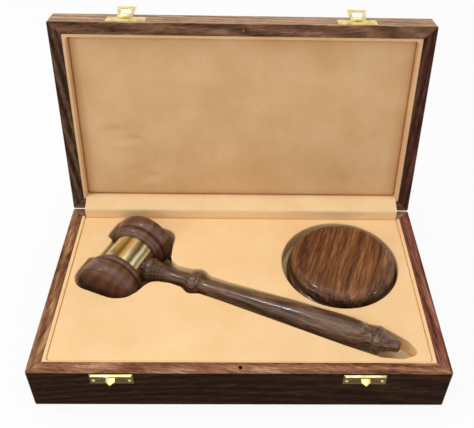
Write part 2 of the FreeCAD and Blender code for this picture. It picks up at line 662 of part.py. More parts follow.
def hinge_cover():
    half = min(HALF_BASE - sheet.side_lining, HALF_LID - sheet.lid_lining) - sheet.seat_gap
    cloth, bend = sheet.cover_cloth, sheet.cover_bend
    front = HALF_BASE_DEPTH - cloth - sheet.seat_gap
    over = HALF_LID_DEPTH - sheet.hinge_side_lining - sheet.seat_gap - cloth
    lip, end = [LID_OPEN.multVec(Vector(0, over, LID_RIM + depth))
                for depth in (0, sheet.pad_depth - 2 * sheet.seat_gap)]
    low, high = RIM - sheet.cover_tuck, RIM + sheet.cover_height
    way = [Vector(-half, y, z) for y, z in ((front, low), (front, high), (lip.y, lip.z), (end.y, end.z))]
    runs = [(b - a).normalize() for a, b in zip(way, way[1:])]
    inward = [Vector(0, run.z, -run.y) * cloth for run in runs]
    mitres = [(a + b) * (2 * cloth ** 2 / (a + b).Length ** 2) for a, b in zip(inward, inward[1:])]
    under = [point + step for point, step in zip(way, inward[:1] + mitres + inward[-1:])]
    solid = flat(way + under[::-1]).extrude(X * 2 * half)
    for corners, radius in ((way[1:3], bend), (under[1:3], bend - cloth)):
        folds = [edge for edge in solid.Edges if edge.BoundBox.XLength > half
                 and min(edge.distToShape(Part.Vertex(corner))[0] for corner in corners) < cloth / 2]
        solid = solid.makeFillet(radius, folds)
    return solid


keep(made("cover_strip", hinge_cover()), "hinge_cover")


# The gavel: a turned head with a brass band round its waist, and a turned handle tenoned into it.
# It is drawn with the handle along X and the head's axis along Y.

HEAD_SHARES = [(0.349, 0.761, 0), (0.547, 0.872, 0.13), (0.564, 0.853, 0), (0.579, 0.872, 0),
               (0.606, 0.93, 0.012), (0.86, 0.972, 0.03), (0.936, 0.876, 0.026), (0.943, 0.848, 0),
               (0.96, 0.832, 0), (1.0, 0, 0.012)]
HANDLE_SHARES = [(0.062, 0.82, 0), (0.083, 0.82, 0), (0.1125, 0.82, 0.125), (0.1165, 0.76, 0),
                 (0.1255, 0.76, 0.065), (0.1295, 0.70, 0), (0.138, 0.70, 0.06), (0.142, 0.64, 0),
                 (0.149, 0.66, 0.03), (0.153, 0.63, 0), (0.203, 0.483, -0.04),
                 (0.241, 0.474, -0.006), (0.2494, 0.586, -0.03), (0.2932, 0.586, 0.32),
                 (0.3009, 0.50, -0.02), (0.3325, 0.496, 0), (0.568, 0.733, -0.022), (0.795, 1.0, 0.047),
                 (0.8516, 0.948, 0.012), (0.8893, 0.664, 0.078), (0.8986, 0.629, 0), (0.9084, 0.69, -0.02),
                 (0.9408, 0.741, 0.275), (0.953, 0.62, -0.02), (0.9834, 0.431, -0.026),
                 (0.9951, 0.362, 0.03), (1.0, 0, 0.034)]


def gavel_head():
    """The head, symmetrical about the handle, with the socket for the handle's tenon."""
    waist = sheet.waist_radius / sheet.head_radius
    step = HEAD_SHARES[0][0]
    right = [(step, waist, 0)] + HEAD_SHARES
    left = []
    for i in range(len(right) - 1, -1, -1):
        bulge = right[i + 1][2] if i + 1 < len(right) else 0
        left.append((-right[i][0], right[i][1], bulge))
    body = turned("head_blank", turned_section(left + right, sheet.head_half_length, sheet.head_radius))
    body.Placement.Rotation = Rotation(X, Y)
    socket = Part.makeCylinder(sheet.tenon_radius, sheet.tenon_depth + sheet.seat_gap + sheet.overrun,
                               X * (sheet.waist_radius - sheet.tenon_depth - sheet.seat_gap), X)
    return cut("head_socketed", body, made("tenon_socket", socket))


def gavel_band():
    """Sheet brass bent round the waist, open where the handle comes out."""
    width, radius = 2 * sheet.band_half_width, sheet.waist_radius + sheet.band_sheet
    start = Y * -sheet.band_half_width
    ring = Part.makeCylinder(radius, width, start, Y)
    ring = ring.cut(Part.makeCylinder(sheet.waist_radius, width, start, Y))
    reach, angle = 2 * sheet.head_radius, math.radians(sheet.band_gap_angle)
    edge = Vector(reach * math.cos(angle), 0, reach * math.sin(angle))
    wedge = flat([start, start + edge, start + Vector(edge.x, 0, -edge.z)]).extrude(Y * width)
    return made("band", ring.cut(wedge))


def gavel_handle():
    """The handle, hollowed to sit on the waist, and its tenon."""
    body = turned("handle_blank", turned_section(HANDLE_SHARES, sheet.handle_length, sheet.grip_radius))
    saddle = Part.makeCylinder(sheet.waist_radius, 2 * sheet.head_half_length, -Y * sheet.head_half_length, Y)
    seated = cut("handle_seated", body, made("handle_saddle", saddle))
    tenon = Part.makeCylinder(sheet.tenon_radius, sheet.tenon_depth + sheet.overrun,
                              X * (sheet.waist_radius - sheet.tenon_depth), X)
    return fuse("handle_with_tenon", [seated, made("handle_tenon", tenon)])


keep(gavel_head(), "gavel_head", GAVEL_PLACE)
keep(gavel_band(), "gavel_band", GAVEL_PLACE)
keep(gavel_handle(), "gavel_handle", GAVEL_PLACE)

# The sound block: a turned disc with a foot rim, a quirk and a rounded shoulder, on a disc of felt

BLOCK_SHARES = [(0, 0.975, 0), (0.06, 1.0, 0.008), (0.27, 1.0, 0), (0.35, 0.972, 0.008), (0.385, 0.938, 0),
                (0.42, 0.945, 0), (0.52, 0.957, 0.003), (0.975, 0.80, 0.055), (1.0, 0, 0.003)]
FELT_SHARE = 0.95

block_centre = BLOCK_RECESS + X * sheet.block_shift_x + Y * sheet.block_shift_y
block_place = Placement(block_centre + Z * (BLOCK_BASE + sheet.block_felt), Rotation(X, Z))
block = turned("block_blank", turned_section(BLOCK_SHARES, sheet.block_height, sheet.block_radius))
keep(block, "sound_block", block_place)
felt = Part.makeCylinder(sheet.block_radius * FELT_SHARE, sheet.block_felt, block_centre + Z * BLOCK_BASE)
keep(made("felt_disc", felt), "sound_block_felt")

# Check and export

doc.recompute()
for obj in doc.Objects:
    if {"Invalid", "Error"} & set(obj.State):
        raise RuntimeError(f"{obj.Label} failed: {obj.State}")
for obj in kept:
    if obj.Shape.isNull() or not obj.Shape.isValid() or not obj.Shape.Solids:
        raise RuntimeError(f"{obj.Label} has no valid solid")
os.makedirs("parts", exist_ok=True)
for obj in kept:
    obj.Shape.exportStep(f"parts/{obj.Label}.step")
    print(obj.Label, len(obj.Shape.Solids), round(obj.Shape.Volume))
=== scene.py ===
"""A wooden presentation case, open, with a turned gavel and its sound block in a cloth-covered insert."""
import math

import bmesh
import bpy
import numpy as np
from mathutils import Matrix, Vector
from mathutils.geometry import tessellate_polygon


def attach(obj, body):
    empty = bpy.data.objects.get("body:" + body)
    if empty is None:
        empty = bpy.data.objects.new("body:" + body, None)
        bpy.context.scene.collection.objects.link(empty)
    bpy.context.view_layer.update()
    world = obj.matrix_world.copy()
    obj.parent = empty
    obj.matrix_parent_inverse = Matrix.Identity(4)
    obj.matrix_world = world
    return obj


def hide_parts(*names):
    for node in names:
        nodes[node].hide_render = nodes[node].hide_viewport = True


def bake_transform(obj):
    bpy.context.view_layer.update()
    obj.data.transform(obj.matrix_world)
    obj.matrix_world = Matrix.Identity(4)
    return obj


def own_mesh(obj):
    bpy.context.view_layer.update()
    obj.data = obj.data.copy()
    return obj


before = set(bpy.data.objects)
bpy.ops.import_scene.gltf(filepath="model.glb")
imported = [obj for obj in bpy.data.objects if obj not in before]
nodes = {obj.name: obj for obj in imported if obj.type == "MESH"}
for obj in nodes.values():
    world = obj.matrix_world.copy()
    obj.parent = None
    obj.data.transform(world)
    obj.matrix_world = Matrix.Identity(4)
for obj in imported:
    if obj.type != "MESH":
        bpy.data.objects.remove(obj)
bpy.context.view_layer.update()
scene = bpy.context.scene


# The case's eight walls: solid sheesham boards, sawn, planed and mitred at the corners, with the sharp
# edges eased by hand and a thin satin varnish. The boards' faces are dark. The sawn rims, which had less
# stain and more rubbing down, are paler and redder, and are drawn paler still as painted light from above,
# as is the top of the open lid. The CAD walls stay and get the wood.

def linear(text):
    """An sRGB hex colour as the linear values that a socket takes."""
    shares = [int(text[i:i + 2], 16) / 255 for i in (1, 3, 5)]
    return (*[s / 12.92 if s <= 0.04045 else ((s + 0.055) / 1.055) ** 2.4 for s in shares], 1)


def add(tree, kind, links=None, stops=None, **settings):
    """Adds a node. links sets its inputs or joins them to sockets; stops are a ramp's places and colours."""
    made = tree.nodes.new(kind)
    for name, value in settings.items():
        setattr(made, name, value)
    if stops:
        ramp = made.color_ramp
        while len(ramp.elements) < len(stops):
            ramp.elements.new(1)
        for element, (place, colour) in zip(ramp.elements, stops):
            element.position, element.color = place, linear(colour)
    for name, value in (links or {}).items():
        if isinstance(value, bpy.types.NodeSocket):
            tree.links.new(value, made.inputs[name])
        else:
            made.inputs[name].default_value = value
    return made


def started(name):
    """A new material's node tree and its shader."""
    material = bpy.data.materials.new(name)
    material.use_nodes = True
    return material, material.node_tree, material.node_tree.nodes["Principled BSDF"]


# Scales over one metre. A wave of the Wave node at scale 1 is 0.314 across. Hairs are a fifth of a streak's
# width. Real pores are 0.2 mm across, too fine to show here, so they are drawn 0.7 mm across. Rings and
# streaks run on along the grain, where these shares of their scale apply.
WAVE, HAIRS, PORES = 0.314, 5, 1500
RING_RUN, STREAK_RUN, PORE_WEIGHT = 0.12, 0.09, 0.2


def timber(name, tones, top_tones_partly_painted_light=None, turn=(0, 0, 0), pith=(0, 0.045, 0.07), ring=0.006, lean=0.0,
           figure=0.2, streak=0.8, width=0.007, fine=0.9, gloss=0.5, shine=0.02, varnish=0.0):
    """Hardwood with the grain along X once it is turned: growth rings round a pith line, broad streaks of
    colour, fine hairs between them, and pores. ring and width are a ring's and a streak's width in metres,
    figure, streak and fine how much each counts, and the top tones are for faces that look up at rest,
    where they are painted light from above."""
    material, tree, shader = started(name)
    place = add(tree, "ShaderNodeTexCoord")
    laid = add(tree, "ShaderNodeMapping", {"Vector": place.outputs["Object"], "Rotation": turn})
    tilted = add(tree, "ShaderNodeMapping", {"Vector": laid.outputs[0], "Rotation": (0, lean, lean),
                                             "Location": pith})
    long = add(tree, "ShaderNodeVectorMath", {0: tilted.outputs[0], 1: (RING_RUN, 1, 1)},
               operation="MULTIPLY")
    rings = add(tree, "ShaderNodeTexWave", {
        "Vector": long.outputs[0], "Scale": WAVE / ring, "Distortion": 14, "Detail": 3, "Detail Scale": 0.35,
        "Detail Roughness": 0.55}, wave_type="RINGS", rings_direction="X", wave_profile="SIN")
    thin = add(tree, "ShaderNodeVectorMath", {0: tilted.outputs[0], 1: (STREAK_RUN, 1, 1)},
               operation="MULTIPLY")
    bands = add(tree, "ShaderNodeTexNoise", {"Vector": thin.outputs[0], "Scale": 1 / width, "Detail": 6,
                                             "Roughness": 0.7, "Distortion": 0.6})
    hairs = add(tree, "ShaderNodeTexNoise", {"Vector": thin.outputs[0], "Scale": HAIRS / width, "Detail": 4,
                                             "Roughness": 0.75})
    pores = add(tree, "ShaderNodeTexNoise", {"Vector": thin.outputs[0], "Scale": PORES, "Detail": 2})
    tone = 0.5 - 0.5 * (figure + streak + fine + PORE_WEIGHT)
    for pattern, weight in ((rings, figure), (bands, streak), (hairs, fine), (pores, PORE_WEIGHT)):
        tone = add(tree, "ShaderNodeMath", {0: pattern.outputs["Fac"], 1: weight, 2: tone},
                   operation="MULTIPLY_ADD").outputs[0]
    ramps = []
    for colours in filter(None, (tones, top_tones_partly_painted_light)):
        stops = [(0.25 + 0.5 * i / (len(colours) - 1), colour) for i, colour in enumerate(colours)]
        ramps.append(add(tree, "ShaderNodeValToRGB", {"Fac": tone}, stops).outputs["Color"])
    colour = ramps[0]
    # Faces that look up take the top tones: painted light from above, on top of any paler wood of their own.
    if top_tones_partly_painted_light:
        way = add(tree, "ShaderNodeSeparateXYZ", {"Vector": place.outputs["Normal"]})
        up = add(tree, "ShaderNodeMapRange", {"Value": way.outputs["Z"], "From Min": 0.35, "From Max": 0.85})
        colour = add(tree, "ShaderNodeMix", {0: up.outputs[0], 6: ramps[0], 7: ramps[1]},
                     data_type="RGBA").outputs[2]
    tree.links.new(colour, shader.inputs["Base Color"])
    rough = add(tree, "ShaderNodeMapRange", {"Value": hairs.outputs["Fac"], "To Min": gloss + 0.1,
                                             "To Max": gloss - 0.1})
    tree.links.new(rough.outputs[0], shader.inputs["Roughness"])
    grain = add(tree, "ShaderNodeBump", {"Height": hairs.outputs["Fac"], "Strength": 0.3, "Distance": 0.0002})
    tree.links.new(grain.outputs[0], shader.inputs["Normal"])
    shader.inputs["IOR"].default_value = 1.5
    shader.inputs["Specular IOR Level"].default_value = shine
    shader.inputs["Coat Weight"].default_value = varnish
    shader.inputs["Coat Roughness"].default_value = 0.15
    return material


# Sheesham under a thin satin varnish: dark brown streaks that slant a little, and hardly any shine. The
# base's rims are paler and redder, partly their own wood and partly painted light, and the top of the open
# lid is palest, which is all painted light from above. Each board has its own pith, so no two boards show
# the same figure. The turns lay the grain along the base's side walls and the lid's.
ALONG_Y = (0, 0, math.pi / 2)
ALONG_LID = (math.radians(8), math.pi / 2, 0)
FACE = ["#140A05", "#24130A", "#321D0F", "#452C19"]
LID_FACE = ["#422C20", "#5F4331", "#7A5842", "#9A735A"]
LID_TOP_PAINTED_LIGHT = ["#76533F", "#9E7A61", "#B69377", "#D3B297"]
RIM_WOOD_AND_PAINTED_LIGHT = ["#4E2D1E", "#7E523B", "#9B6C51", "#C39A7C"]
walls = {
    "base_front_wall": timber("sheesham_base_front", FACE, RIM_WOOD_AND_PAINTED_LIGHT, lean=0.13, pith=(0.1, 0.12, 0.02)),
    "base_back_wall": timber("sheesham_base_back", FACE, RIM_WOOD_AND_PAINTED_LIGHT, lean=-0.05, pith=(0.7, -0.05, 0.04)),
    "base_left_wall": timber("sheesham_base_left", FACE, ["#4A2D1C", "#7C5238", "#966A46", "#B8906A"],
                             ALONG_Y, (0.3, 0.2, 0.03), lean=0.14, streak=1.2),
    "base_right_wall": timber("sheesham_base_right", FACE, ["#45241A", "#734333", "#895545", "#A97862"],
                              ALONG_Y, (0.5, -0.11, 0.02), lean=-0.06, streak=1.2),
    "lid_front_wall": timber("sheesham_lid_front", LID_FACE, LID_TOP_PAINTED_LIGHT, lean=0.1, pith=(0.9, -0.06, -0.2)),
    "lid_back_wall": timber("sheesham_lid_back", LID_FACE, LID_TOP_PAINTED_LIGHT, lean=-0.07, pith=(1.3, -0.06, 0.1)),
    "lid_left_wall": timber("sheesham_lid_left", ["#2A1A12", "#412C20", "#554030", "#6F5642"], RIM_WOOD_AND_PAINTED_LIGHT,
                            ALONG_LID, (1.7, -0.06, 0.19), lean=0.16, figure=0.3, streak=1.0, width=0.006),
    "lid_right_wall": timber("sheesham_lid_right", ["#25130F", "#3E251D", "#54342A", "#6B463A"], RIM_WOOD_AND_PAINTED_LIGHT,
                             ALONG_LID, (2.1, -0.06, -0.12), lean=-0.08),
}


def finish_node(name, material):
    """Gives a CAD node that stays its material."""
    mesh = nodes[name].data
    mesh.materials.clear()
    mesh.materials.append(material)


for name, material in walls.items():
    finish_node(name, material)

# The two boards that close the case: thin sheesham-faced ply, let into rebates and glued, with the same
# stain. The base's is its underside and the lid's is its top.

# Veneer peeled from the log: the walls' brown in broad, nearly straight bands, wider than a sawn board's.
VENEER = {"ring": 0.035, "width": 0.014}
finish_node("base_bottom_board", timber("faced_ply_base", FACE, lean=0.03, pith=(2.6, 0.3, 0.02), **VENEER))
finish_node("lid_top_board", timber("faced_ply_lid", LID_FACE, lean=0.04, pith=(3.1, -0.02, 0.35), **VENEER))

# The base's lining: strips of card covered in suede cloth, glued round the inside of the walls, with the
# cloth turned over the top edge. One piece stands for the three CAD strips.

RIM_HEIGHT, BOARD = 0.042, 0.003
INSIDE_X, INSIDE_Y = 0.1502, 0.0812
SIDE_STRIP, FRONT_STRIP, BELOW_RIM = 0.0029, 0.0014, 0.0002
OUTER_CORNER, INNER_CORNER, LINING_EASE = 0.0008, 0.003, 0.00055
# Scales over one metre. Patches of the nap are 36 mm across and soft hollows 45 mm. The nap's fibres, a
# tenth of a millimetre thick, are too fine to show here, so they are drawn as tufts 2.4 mm across.
PATCHES, HOLLOWS, TUFTS = 28, 22, 420


def suede(name, pale, deep, hollow_depth=0.0006):
    """Suede cloth: matt, with a brushed nap that lies in soft patches, and a fine grain."""
    material, tree, shader = started(name)
    place = add(tree, "ShaderNodeTexCoord")
    patches = add(tree, "ShaderNodeTexNoise", {"Vector": place.outputs["Object"], "Scale": PATCHES,
                                               "Detail": 3, "Roughness": 0.55})
    nap = add(tree, "ShaderNodeTexNoise", {"Vector": place.outputs["Object"], "Scale": TUFTS, "Detail": 3,
                                           "Roughness": 0.7})
    both = add(tree, "ShaderNodeMath", {0: nap.outputs["Fac"], 1: 0.35, 2: patches.outputs["Fac"]},
               operation="MULTIPLY_ADD")
    spread = add(tree, "ShaderNodeMapRange", {"Value": both.outputs[0], "From Min": 0.45, "From Max": 0.9})
    colour = add(tree, "ShaderNodeMix", {0: spread.outputs[0], 6: linear(deep), 7: linear(pale)},
                 data_type="RGBA")
    tree.links.new(colour.outputs[2], shader.inputs["Base Color"])
    fibre = add(tree, "ShaderNodeBump", {"Height": nap.outputs["Fac"], "Strength": 0.35, "Distance": 0.0003})
    soft = add(tree, "ShaderNodeTexNoise", {"Vector": place.outputs["Object"], "Scale": HOLLOWS, "Detail": 1})
    hollow = add(tree, "ShaderNodeBump", {"Height": soft.outputs["Fac"], "Strength": 0.5,
                                          "Distance": hollow_depth, "Normal": fibre.outputs[0]})
    tree.links.new(hollow.outputs[0], shader.inputs["Normal"])
    shader.inputs["Roughness"].default_value = 0.95
    shader.inputs["Specular IOR Level"].default_value = 0.15
    shader.inputs["Sheen Weight"].default_value = 0.12
    shader.inputs["Sheen Roughness"].default_value = 0.5
    shader.inputs["Sheen Tint"].default_value = linear("#FFE3BC")
    return material


def rounded(corners, steps=6):
    """Points of an outline whose corners are rounded, each by its own radius as far as its runs allow."""
    points = [Vector(corner[:2]) for corner in corners]
    line = []
    for i, (corner, (_, _, radius)) in enumerate(zip(points, corners)):
        if not radius:
            line.append(corner)
            continue
        before, after = points[i - 1] - corner, points[(i + 1) % len(points)] - corner
        half_turn = (math.pi - before.angle(after)) / 2
        reach = min(radius * math.tan(half_turn), 0.45 * min(before.length, after.length))
        arc = reach / math.tan(half_turn)
        inward = (before.normalized() + after.normalized()).normalized()
        centre = corner + inward * math.hypot(reach, arc)
        start, end = [corner + run.normalized() * reach - centre for run in (before, after)]
        turn = start.angle_signed(end)
        for step in range(steps + 1):
            line.append(centre + Matrix.Rotation(-turn * step / steps, 2) @ start)
    return line


def shown(name, mesh, material, body=None, stands_for=()):
    """Puts a finished mesh in the scene with its material, slot and body."""
    piece = bpy.data.objects.new(name, mesh)
    scene.collection.objects.link(piece)
    mesh.materials.clear()
    mesh.materials.append(material)
    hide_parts(*stands_for)
    if body:
        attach(piece, body)
    return piece


SHARP, MERGED = math.radians(35), 2e-6


def plain_mesh(piece, name, smooth=SHARP):
    """The finished mesh of an object with its modifiers, and the object is gone."""
    bpy.context.view_layer.update()
    mesh = bpy.data.meshes.new_from_object(piece.evaluated_get(bpy.context.evaluated_depsgraph_get()))
    mesh.name = name
    bpy.data.objects.remove(piece)
    built = bmesh.new()
    built.from_mesh(mesh)
    bmesh.ops.remove_doubles(built, verts=built.verts, dist=MERGED)
    bmesh.ops.recalc_face_normals(built, faces=built.faces)
    built.to_mesh(mesh)
    built.free()
    mesh.shade_smooth()
    mesh.set_sharp_from_angle(angle=smooth)
    return mesh


def covered_board(name, outlines, low, high, ease, steps=5):
    """A board of the first outline, with the others as holes, its edges rounded as cloth rounds them."""
    arc = [math.pi / 2 * step / steps for step in range(steps + 1)]
    profile = [(ease * (1 - math.sin(t)), low + ease * (1 - math.cos(t))) for t in arc]
    profile += [(inset, low + high - z) for inset, z in reversed(profile)]
    board, edges = bmesh.new(), []
    for outline in outlines:
        points = [Vector(point) for point in outline]
        turn = sum(a.cross(b) for a, b in zip(points, points[1:] + points[:1]))
        if (turn > 0) != (outline is outlines[0]):
            points.reverse()
        runs = [(b - a).normalized().orthogonal() for a, b in zip(points, points[1:] + points[:1])]
        mitres = [(a + b) * (2 / (a + b).length_squared) for a, b in zip(runs[-1:] + runs[:-1], runs)]
        rings = [[board.verts.new((*(point + mitre * inset), z)) for point, mitre in zip(points, mitres)]
                 for inset, z in profile]
        for below, above in zip(rings, rings[1:]):
            for i in range(len(points)):
                j = (i + 1) % len(points)
                board.faces.new((below[i], below[j], above[j], above[i])).smooth = True
        edges.append((rings[0], rings[-1]))
    for side in (0, 1):
        loops = [pair[side] for pair in edges]
        verts = [vert for loop in loops for vert in loop]
        for corners in tessellate_polygon([[vert.co for vert in loop] for loop in loops]):
            board.faces.new([verts[i] for i in corners])
    bmesh.ops.recalc_face_normals(board, faces=board.faces)
    mesh = bpy.data.meshes.new(name)
    board.to_mesh(mesh)
    board.free()
    mesh.set_sharp_from_angle(angle=SHARP)
    return mesh


# Peach suede: no highlight at all, clouded where the nap lies over, and warmer where it stands up.
lining_suede = suede("suede_lining", "#FCD6A2", "#F5CA92")
x, y, side, front = INSIDE_X, INSIDE_Y, SIDE_STRIP, FRONT_STRIP
strip = rounded([(-x, y, 0), (-x, -y, OUTER_CORNER), (x, -y, OUTER_CORNER), (x, y, 0), (x - side, y, 0),
                 (x - side, front - y, INNER_CORNER), (side - x, front - y, INNER_CORNER), (side - x, y, 0)])
shown("base_lining", covered_board("base_lining", [strip], BOARD, RIM_HEIGHT - BELOW_RIM, LINING_EASE),
      lining_suede, "case", ["base_front_lining", "base_left_lining", "base_right_lining"])

# The insert: foam board cut out for the gavel and the block, covered in the same suede cloth, which is
# drawn down over the cut edges and rounds them. The upper layer has the shallow channel and the round
# recess, and the lower one the deep well of the gavel's head.

HEAD_AT, TURN = Vector((-0.1018, 0.0309)), math.radians(-23.1)
HEAD_RADIUS, HEAD_HALF, HANDLE, GRIP = 0.0276, 0.039, 0.2466, 0.0116
# Corners round the head: along the handle and their rounding in radii of the head, across in half lengths.
HEAD_NEAR = [(-1.03, -1.228, 0.72), (0.489, -1.22, 0.8), (0.888, -1.085, 0.7), (1.072, -0.846, 0.6),
             (1.152, -0.615, 0.4), (1.254, -0.477, 0.3)]
HEAD_FAR = [(1.377, 0.308, 0.3), (1.181, 0.646, 0.5), (0.985, 1.115, 0.55), (-1.03, 1.115, 0.55),
            (-1.03, 0.37, 0.15), (-0.76, 0.3, 0.15), (-0.76, -0.3, 0.15), (-1.03, -0.37, 0.15)]
# Corners along the handle in shares of its length, and out to that side in radii of the grip.
CHANNEL_NEAR = [(0.163, 1.33), (0.204, 1.13), (0.247, 1.13), (0.281, 1.5), (0.3175, 1.17), (0.396, 1.16),
                (0.608, 1.24), (0.83, 1.33), (0.953, 1.3), (1.018, 0.845), (1.062, 0)]
CHANNEL_FAR = [(0.1914, 0.612), (0.2466, 0.74), (0.2795, 1.09), (0.32, 0.68), (0.393, 0.67),
               (0.608, 0.96), (0.831, 1.164), (0.884, 1.0), (0.9185, 1.16), (0.988, 0.836), (1.02, 0.65)]
CHANNEL_ROUNDING, WHOLE_HANDLE, WELL_END = 0.6, 2, 0.33
RECESS_FLOOR, INSERT_TOP, COVER_EASE, FOAM_EASE = 0.02673, 0.0412, 0.0011, 0.0003
BLOCK_RECESS, RECESS_RADIUS = Vector((0.0868, 0.0233)), 0.051
TRAY_X, TRAY_FRONT, TRAY_BACK, FRONT_CORNER, BACK_CORNER = 0.1470, -0.0795, 0.07975, 0.003, 0.001


def by_the_head(shares):
    """Corners given as shares of the head's sizes, in metres."""
    return [(a * HEAD_RADIUS, b * HEAD_HALF, r * HEAD_RADIUS) for a, b, r in shares]


def under_the_gavel(corners):
    """An outline drawn along the gavel, rounded and put where the gavel lies."""
    place = Matrix.Rotation(TURN, 2)
    return [HEAD_AT + place @ point for point in rounded(corners)]


def recess(limit):
    """The outline of the gavel's recess as far as a share of the handle's length, in its place."""
    below, above = [[(a * HANDLE, side * b * GRIP, CHANNEL_ROUNDING * GRIP) for a, b in shares if a < limit]
                    for shares, side in ((CHANNEL_NEAR, -1), (CHANNEL_FAR, 1))]
    return under_the_gavel(by_the_head(HEAD_NEAR) + below + above[::-1] + by_the_head(HEAD_FAR))


tray = rounded([(-TRAY_X, TRAY_FRONT, FRONT_CORNER), (TRAY_X, TRAY_FRONT, FRONT_CORNER),
                (TRAY_X, TRAY_BACK, BACK_CORNER), (-TRAY_X, TRAY_BACK, BACK_CORNER)])
ring = [BLOCK_RECESS + RECESS_RADIUS * Vector((math.cos(t), math.sin(t)))
        for t in np.linspace(0, 2 * math.pi, 96, False)]
mesh = covered_board("insert_cover", [tray, recess(WHOLE_HANDLE), ring], RECESS_FLOOR, INSERT_TOP, COVER_EASE)
shown("insert_cover", mesh, lining_suede, "case", ["insert_top"])
# The same matt suede down in the well, drawn a little paler and less warm as painted light against the
# well's shade.
well_suede_painted_light = suede("suede_in_the_well_painted_light", "#F3DCB8", "#E8CBA0")
mesh = covered_board("insert_foam", [tray, recess(WELL_END)], BOARD, RECESS_FLOOR, FOAM_EASE)
shown("insert_foam", mesh, well_suede_painted_light, "case", ["insert_core"])

# The bottom of the deep well: one more piece of the lining's suede cloth, cut to the well's outline and
# laid loose on the case's bottom board, under the gavel's head.

WELL_PATCH = [(-0.73, -1.19, 0.5), (1, -1.19, 0.7), (0.95, 1.08, 0.5), (-0.73, 1.08, 0.4)]
CLOTH, CLOTH_EASE = 0.0005, 0.0001
patch = under_the_gavel(by_the_head(WELL_PATCH))
mesh = covered_board("well_cloth", [patch], BOARD, BOARD + CLOTH, CLOTH_EASE)
piece = shown("well_cloth", mesh, lining_suede, "case", ["head_well_cloth"])

# The hinges: two brass butts let into the rims. Their leaves are pressed and rolled from sheet, drilled and
# countersunk, and turn on a brass pin. Each stands here as a copy of its CAD solid with softened edges.

# Scales over one metre. Spots of tarnish are 6 mm across. Scratches, a twentieth of a millimetre wide, are
# too fine to show here, so they are drawn 1.1 mm across.
TARNISH, SCRATCHES = 160, 900


def brass(name, painted_front_shade=None):
    """Yellow brass, bright from the roll, with fine scratches and a bloom of tarnish. Its front faces may
    take a darker brown as painted shade."""
    material, tree, shader = started(name)
    place = add(tree, "ShaderNodeTexCoord")
    bloom = add(tree, "ShaderNodeTexNoise", {"Vector": place.outputs["Object"], "Scale": TARNISH,
                                             "Detail": 4})
    spread = add(tree, "ShaderNodeMapRange", {"Value": bloom.outputs["Fac"], "From Min": 0.4,
                                              "From Max": 0.7})
    tint = add(tree, "ShaderNodeMix", {0: spread.outputs[0], 6: linear("#EFDC98"), 7: linear("#C7AC66")},
               data_type="RGBA").outputs[2]
    # Faces that look to the front take the painted shade colour.
    if painted_front_shade:
        way = add(tree, "ShaderNodeSeparateXYZ", {"Vector": place.outputs["Normal"]})
        front_facing_mask = add(tree, "ShaderNodeMapRange", {"Value": way.outputs["Y"], "From Min": -0.8,
                                                "From Max": -0.98})
        tint = add(tree, "ShaderNodeMix", {0: front_facing_mask.outputs[0], 6: tint, 7: linear(painted_front_shade)},
                   data_type="RGBA").outputs[2]
    tree.links.new(tint, shader.inputs["Base Color"])
    soft = add(tree, "ShaderNodeMapRange", {"Value": bloom.outputs["Fac"], "To Min": 0.15, "To Max": 0.32})
    tree.links.new(soft.outputs[0], shader.inputs["Roughness"])
    scratches = add(tree, "ShaderNodeTexNoise", {"Vector": place.outputs["Object"], "Scale": SCRATCHES,
                                                 "Detail": 2})
    worn = add(tree, "ShaderNodeBump", {"Height": scratches.outputs["Fac"], "Strength": 0.12,
                                        "Distance": 0.0001})
    tree.links.new(worn.outputs[0], shader.inputs["Normal"])
    shader.inputs["Metallic"].default_value = 1
    return material


BRASS_EASE, FLATTENED, BEVELLED = 0.00012, math.radians(1), math.radians(40)


def softened(node, material, body):
    """A merged copy of a brass CAD node with its edges eased, as a press and a polish leave them."""
    mesh = nodes[node].data.copy()
    built = bmesh.new()
    built.from_mesh(mesh)
    bmesh.ops.remove_doubles(built, verts=built.verts, dist=MERGED)
    bmesh.ops.dissolve_limit(built, angle_limit=FLATTENED, verts=built.verts, edges=built.edges)
    built.to_mesh(mesh)
    built.free()
    copy = bpy.data.objects.new(node + "_copy", mesh)
    scene.collection.objects.link(copy)
    bevel = copy.modifiers.new("eased", "BEVEL")
    bevel.width, bevel.segments, bevel.limit_method, bevel.angle_limit = BRASS_EASE, 2, "ANGLE", BEVELLED
    shown(node + "_eased", plain_mesh(copy, node + "_eased"), material, body, [node])


# Brass sheet: a pale yellow shine with darker spots, dulled a little where it is tarnished.
sheet_brass = brass("brass_sheet")
for side in ("left", "right"):
    softened(f"{side}_hinge_base_leaf", sheet_brass, "case")
    softened(f"{side}_hinge_lid_leaf", sheet_brass, "lid")
    softened(f"{side}_hinge_pin", sheet_brass, "case")

# The latches: on the base a plate with a folded lip and a pointed hook, on the lid a plate with a lip and
# a tongue curled round the bail. Each is blanked from brass sheet, folded, and nailed through two holes.

# The catch plates' brass: bright on the lip and the hook, and brown on the front, which is painted shade.
catch_brass = brass("brass_catch_painted_front_shade", painted_front_shade="#5E4B2C")
for side in ("left", "right"):
    softened(f"{side}_catch_plate", catch_brass, "case")
    softened(f"{side}_latch_plate", sheet_brass, "lid")
    softened(f"{side}_latch_bail", sheet_brass, f"{side}_bail")

# The nails and screws: dome-headed brass nails through the plates, and countersunk brass screws through
# the hinge leaves. One turned blank of each is set out on its places, one piece for each body.

HINGE_Y, SEAM, PARTING = 0.0911, 0.0422, 0.0004
LID_HINGE = Vector((0, HINGE_Y, SEAM))
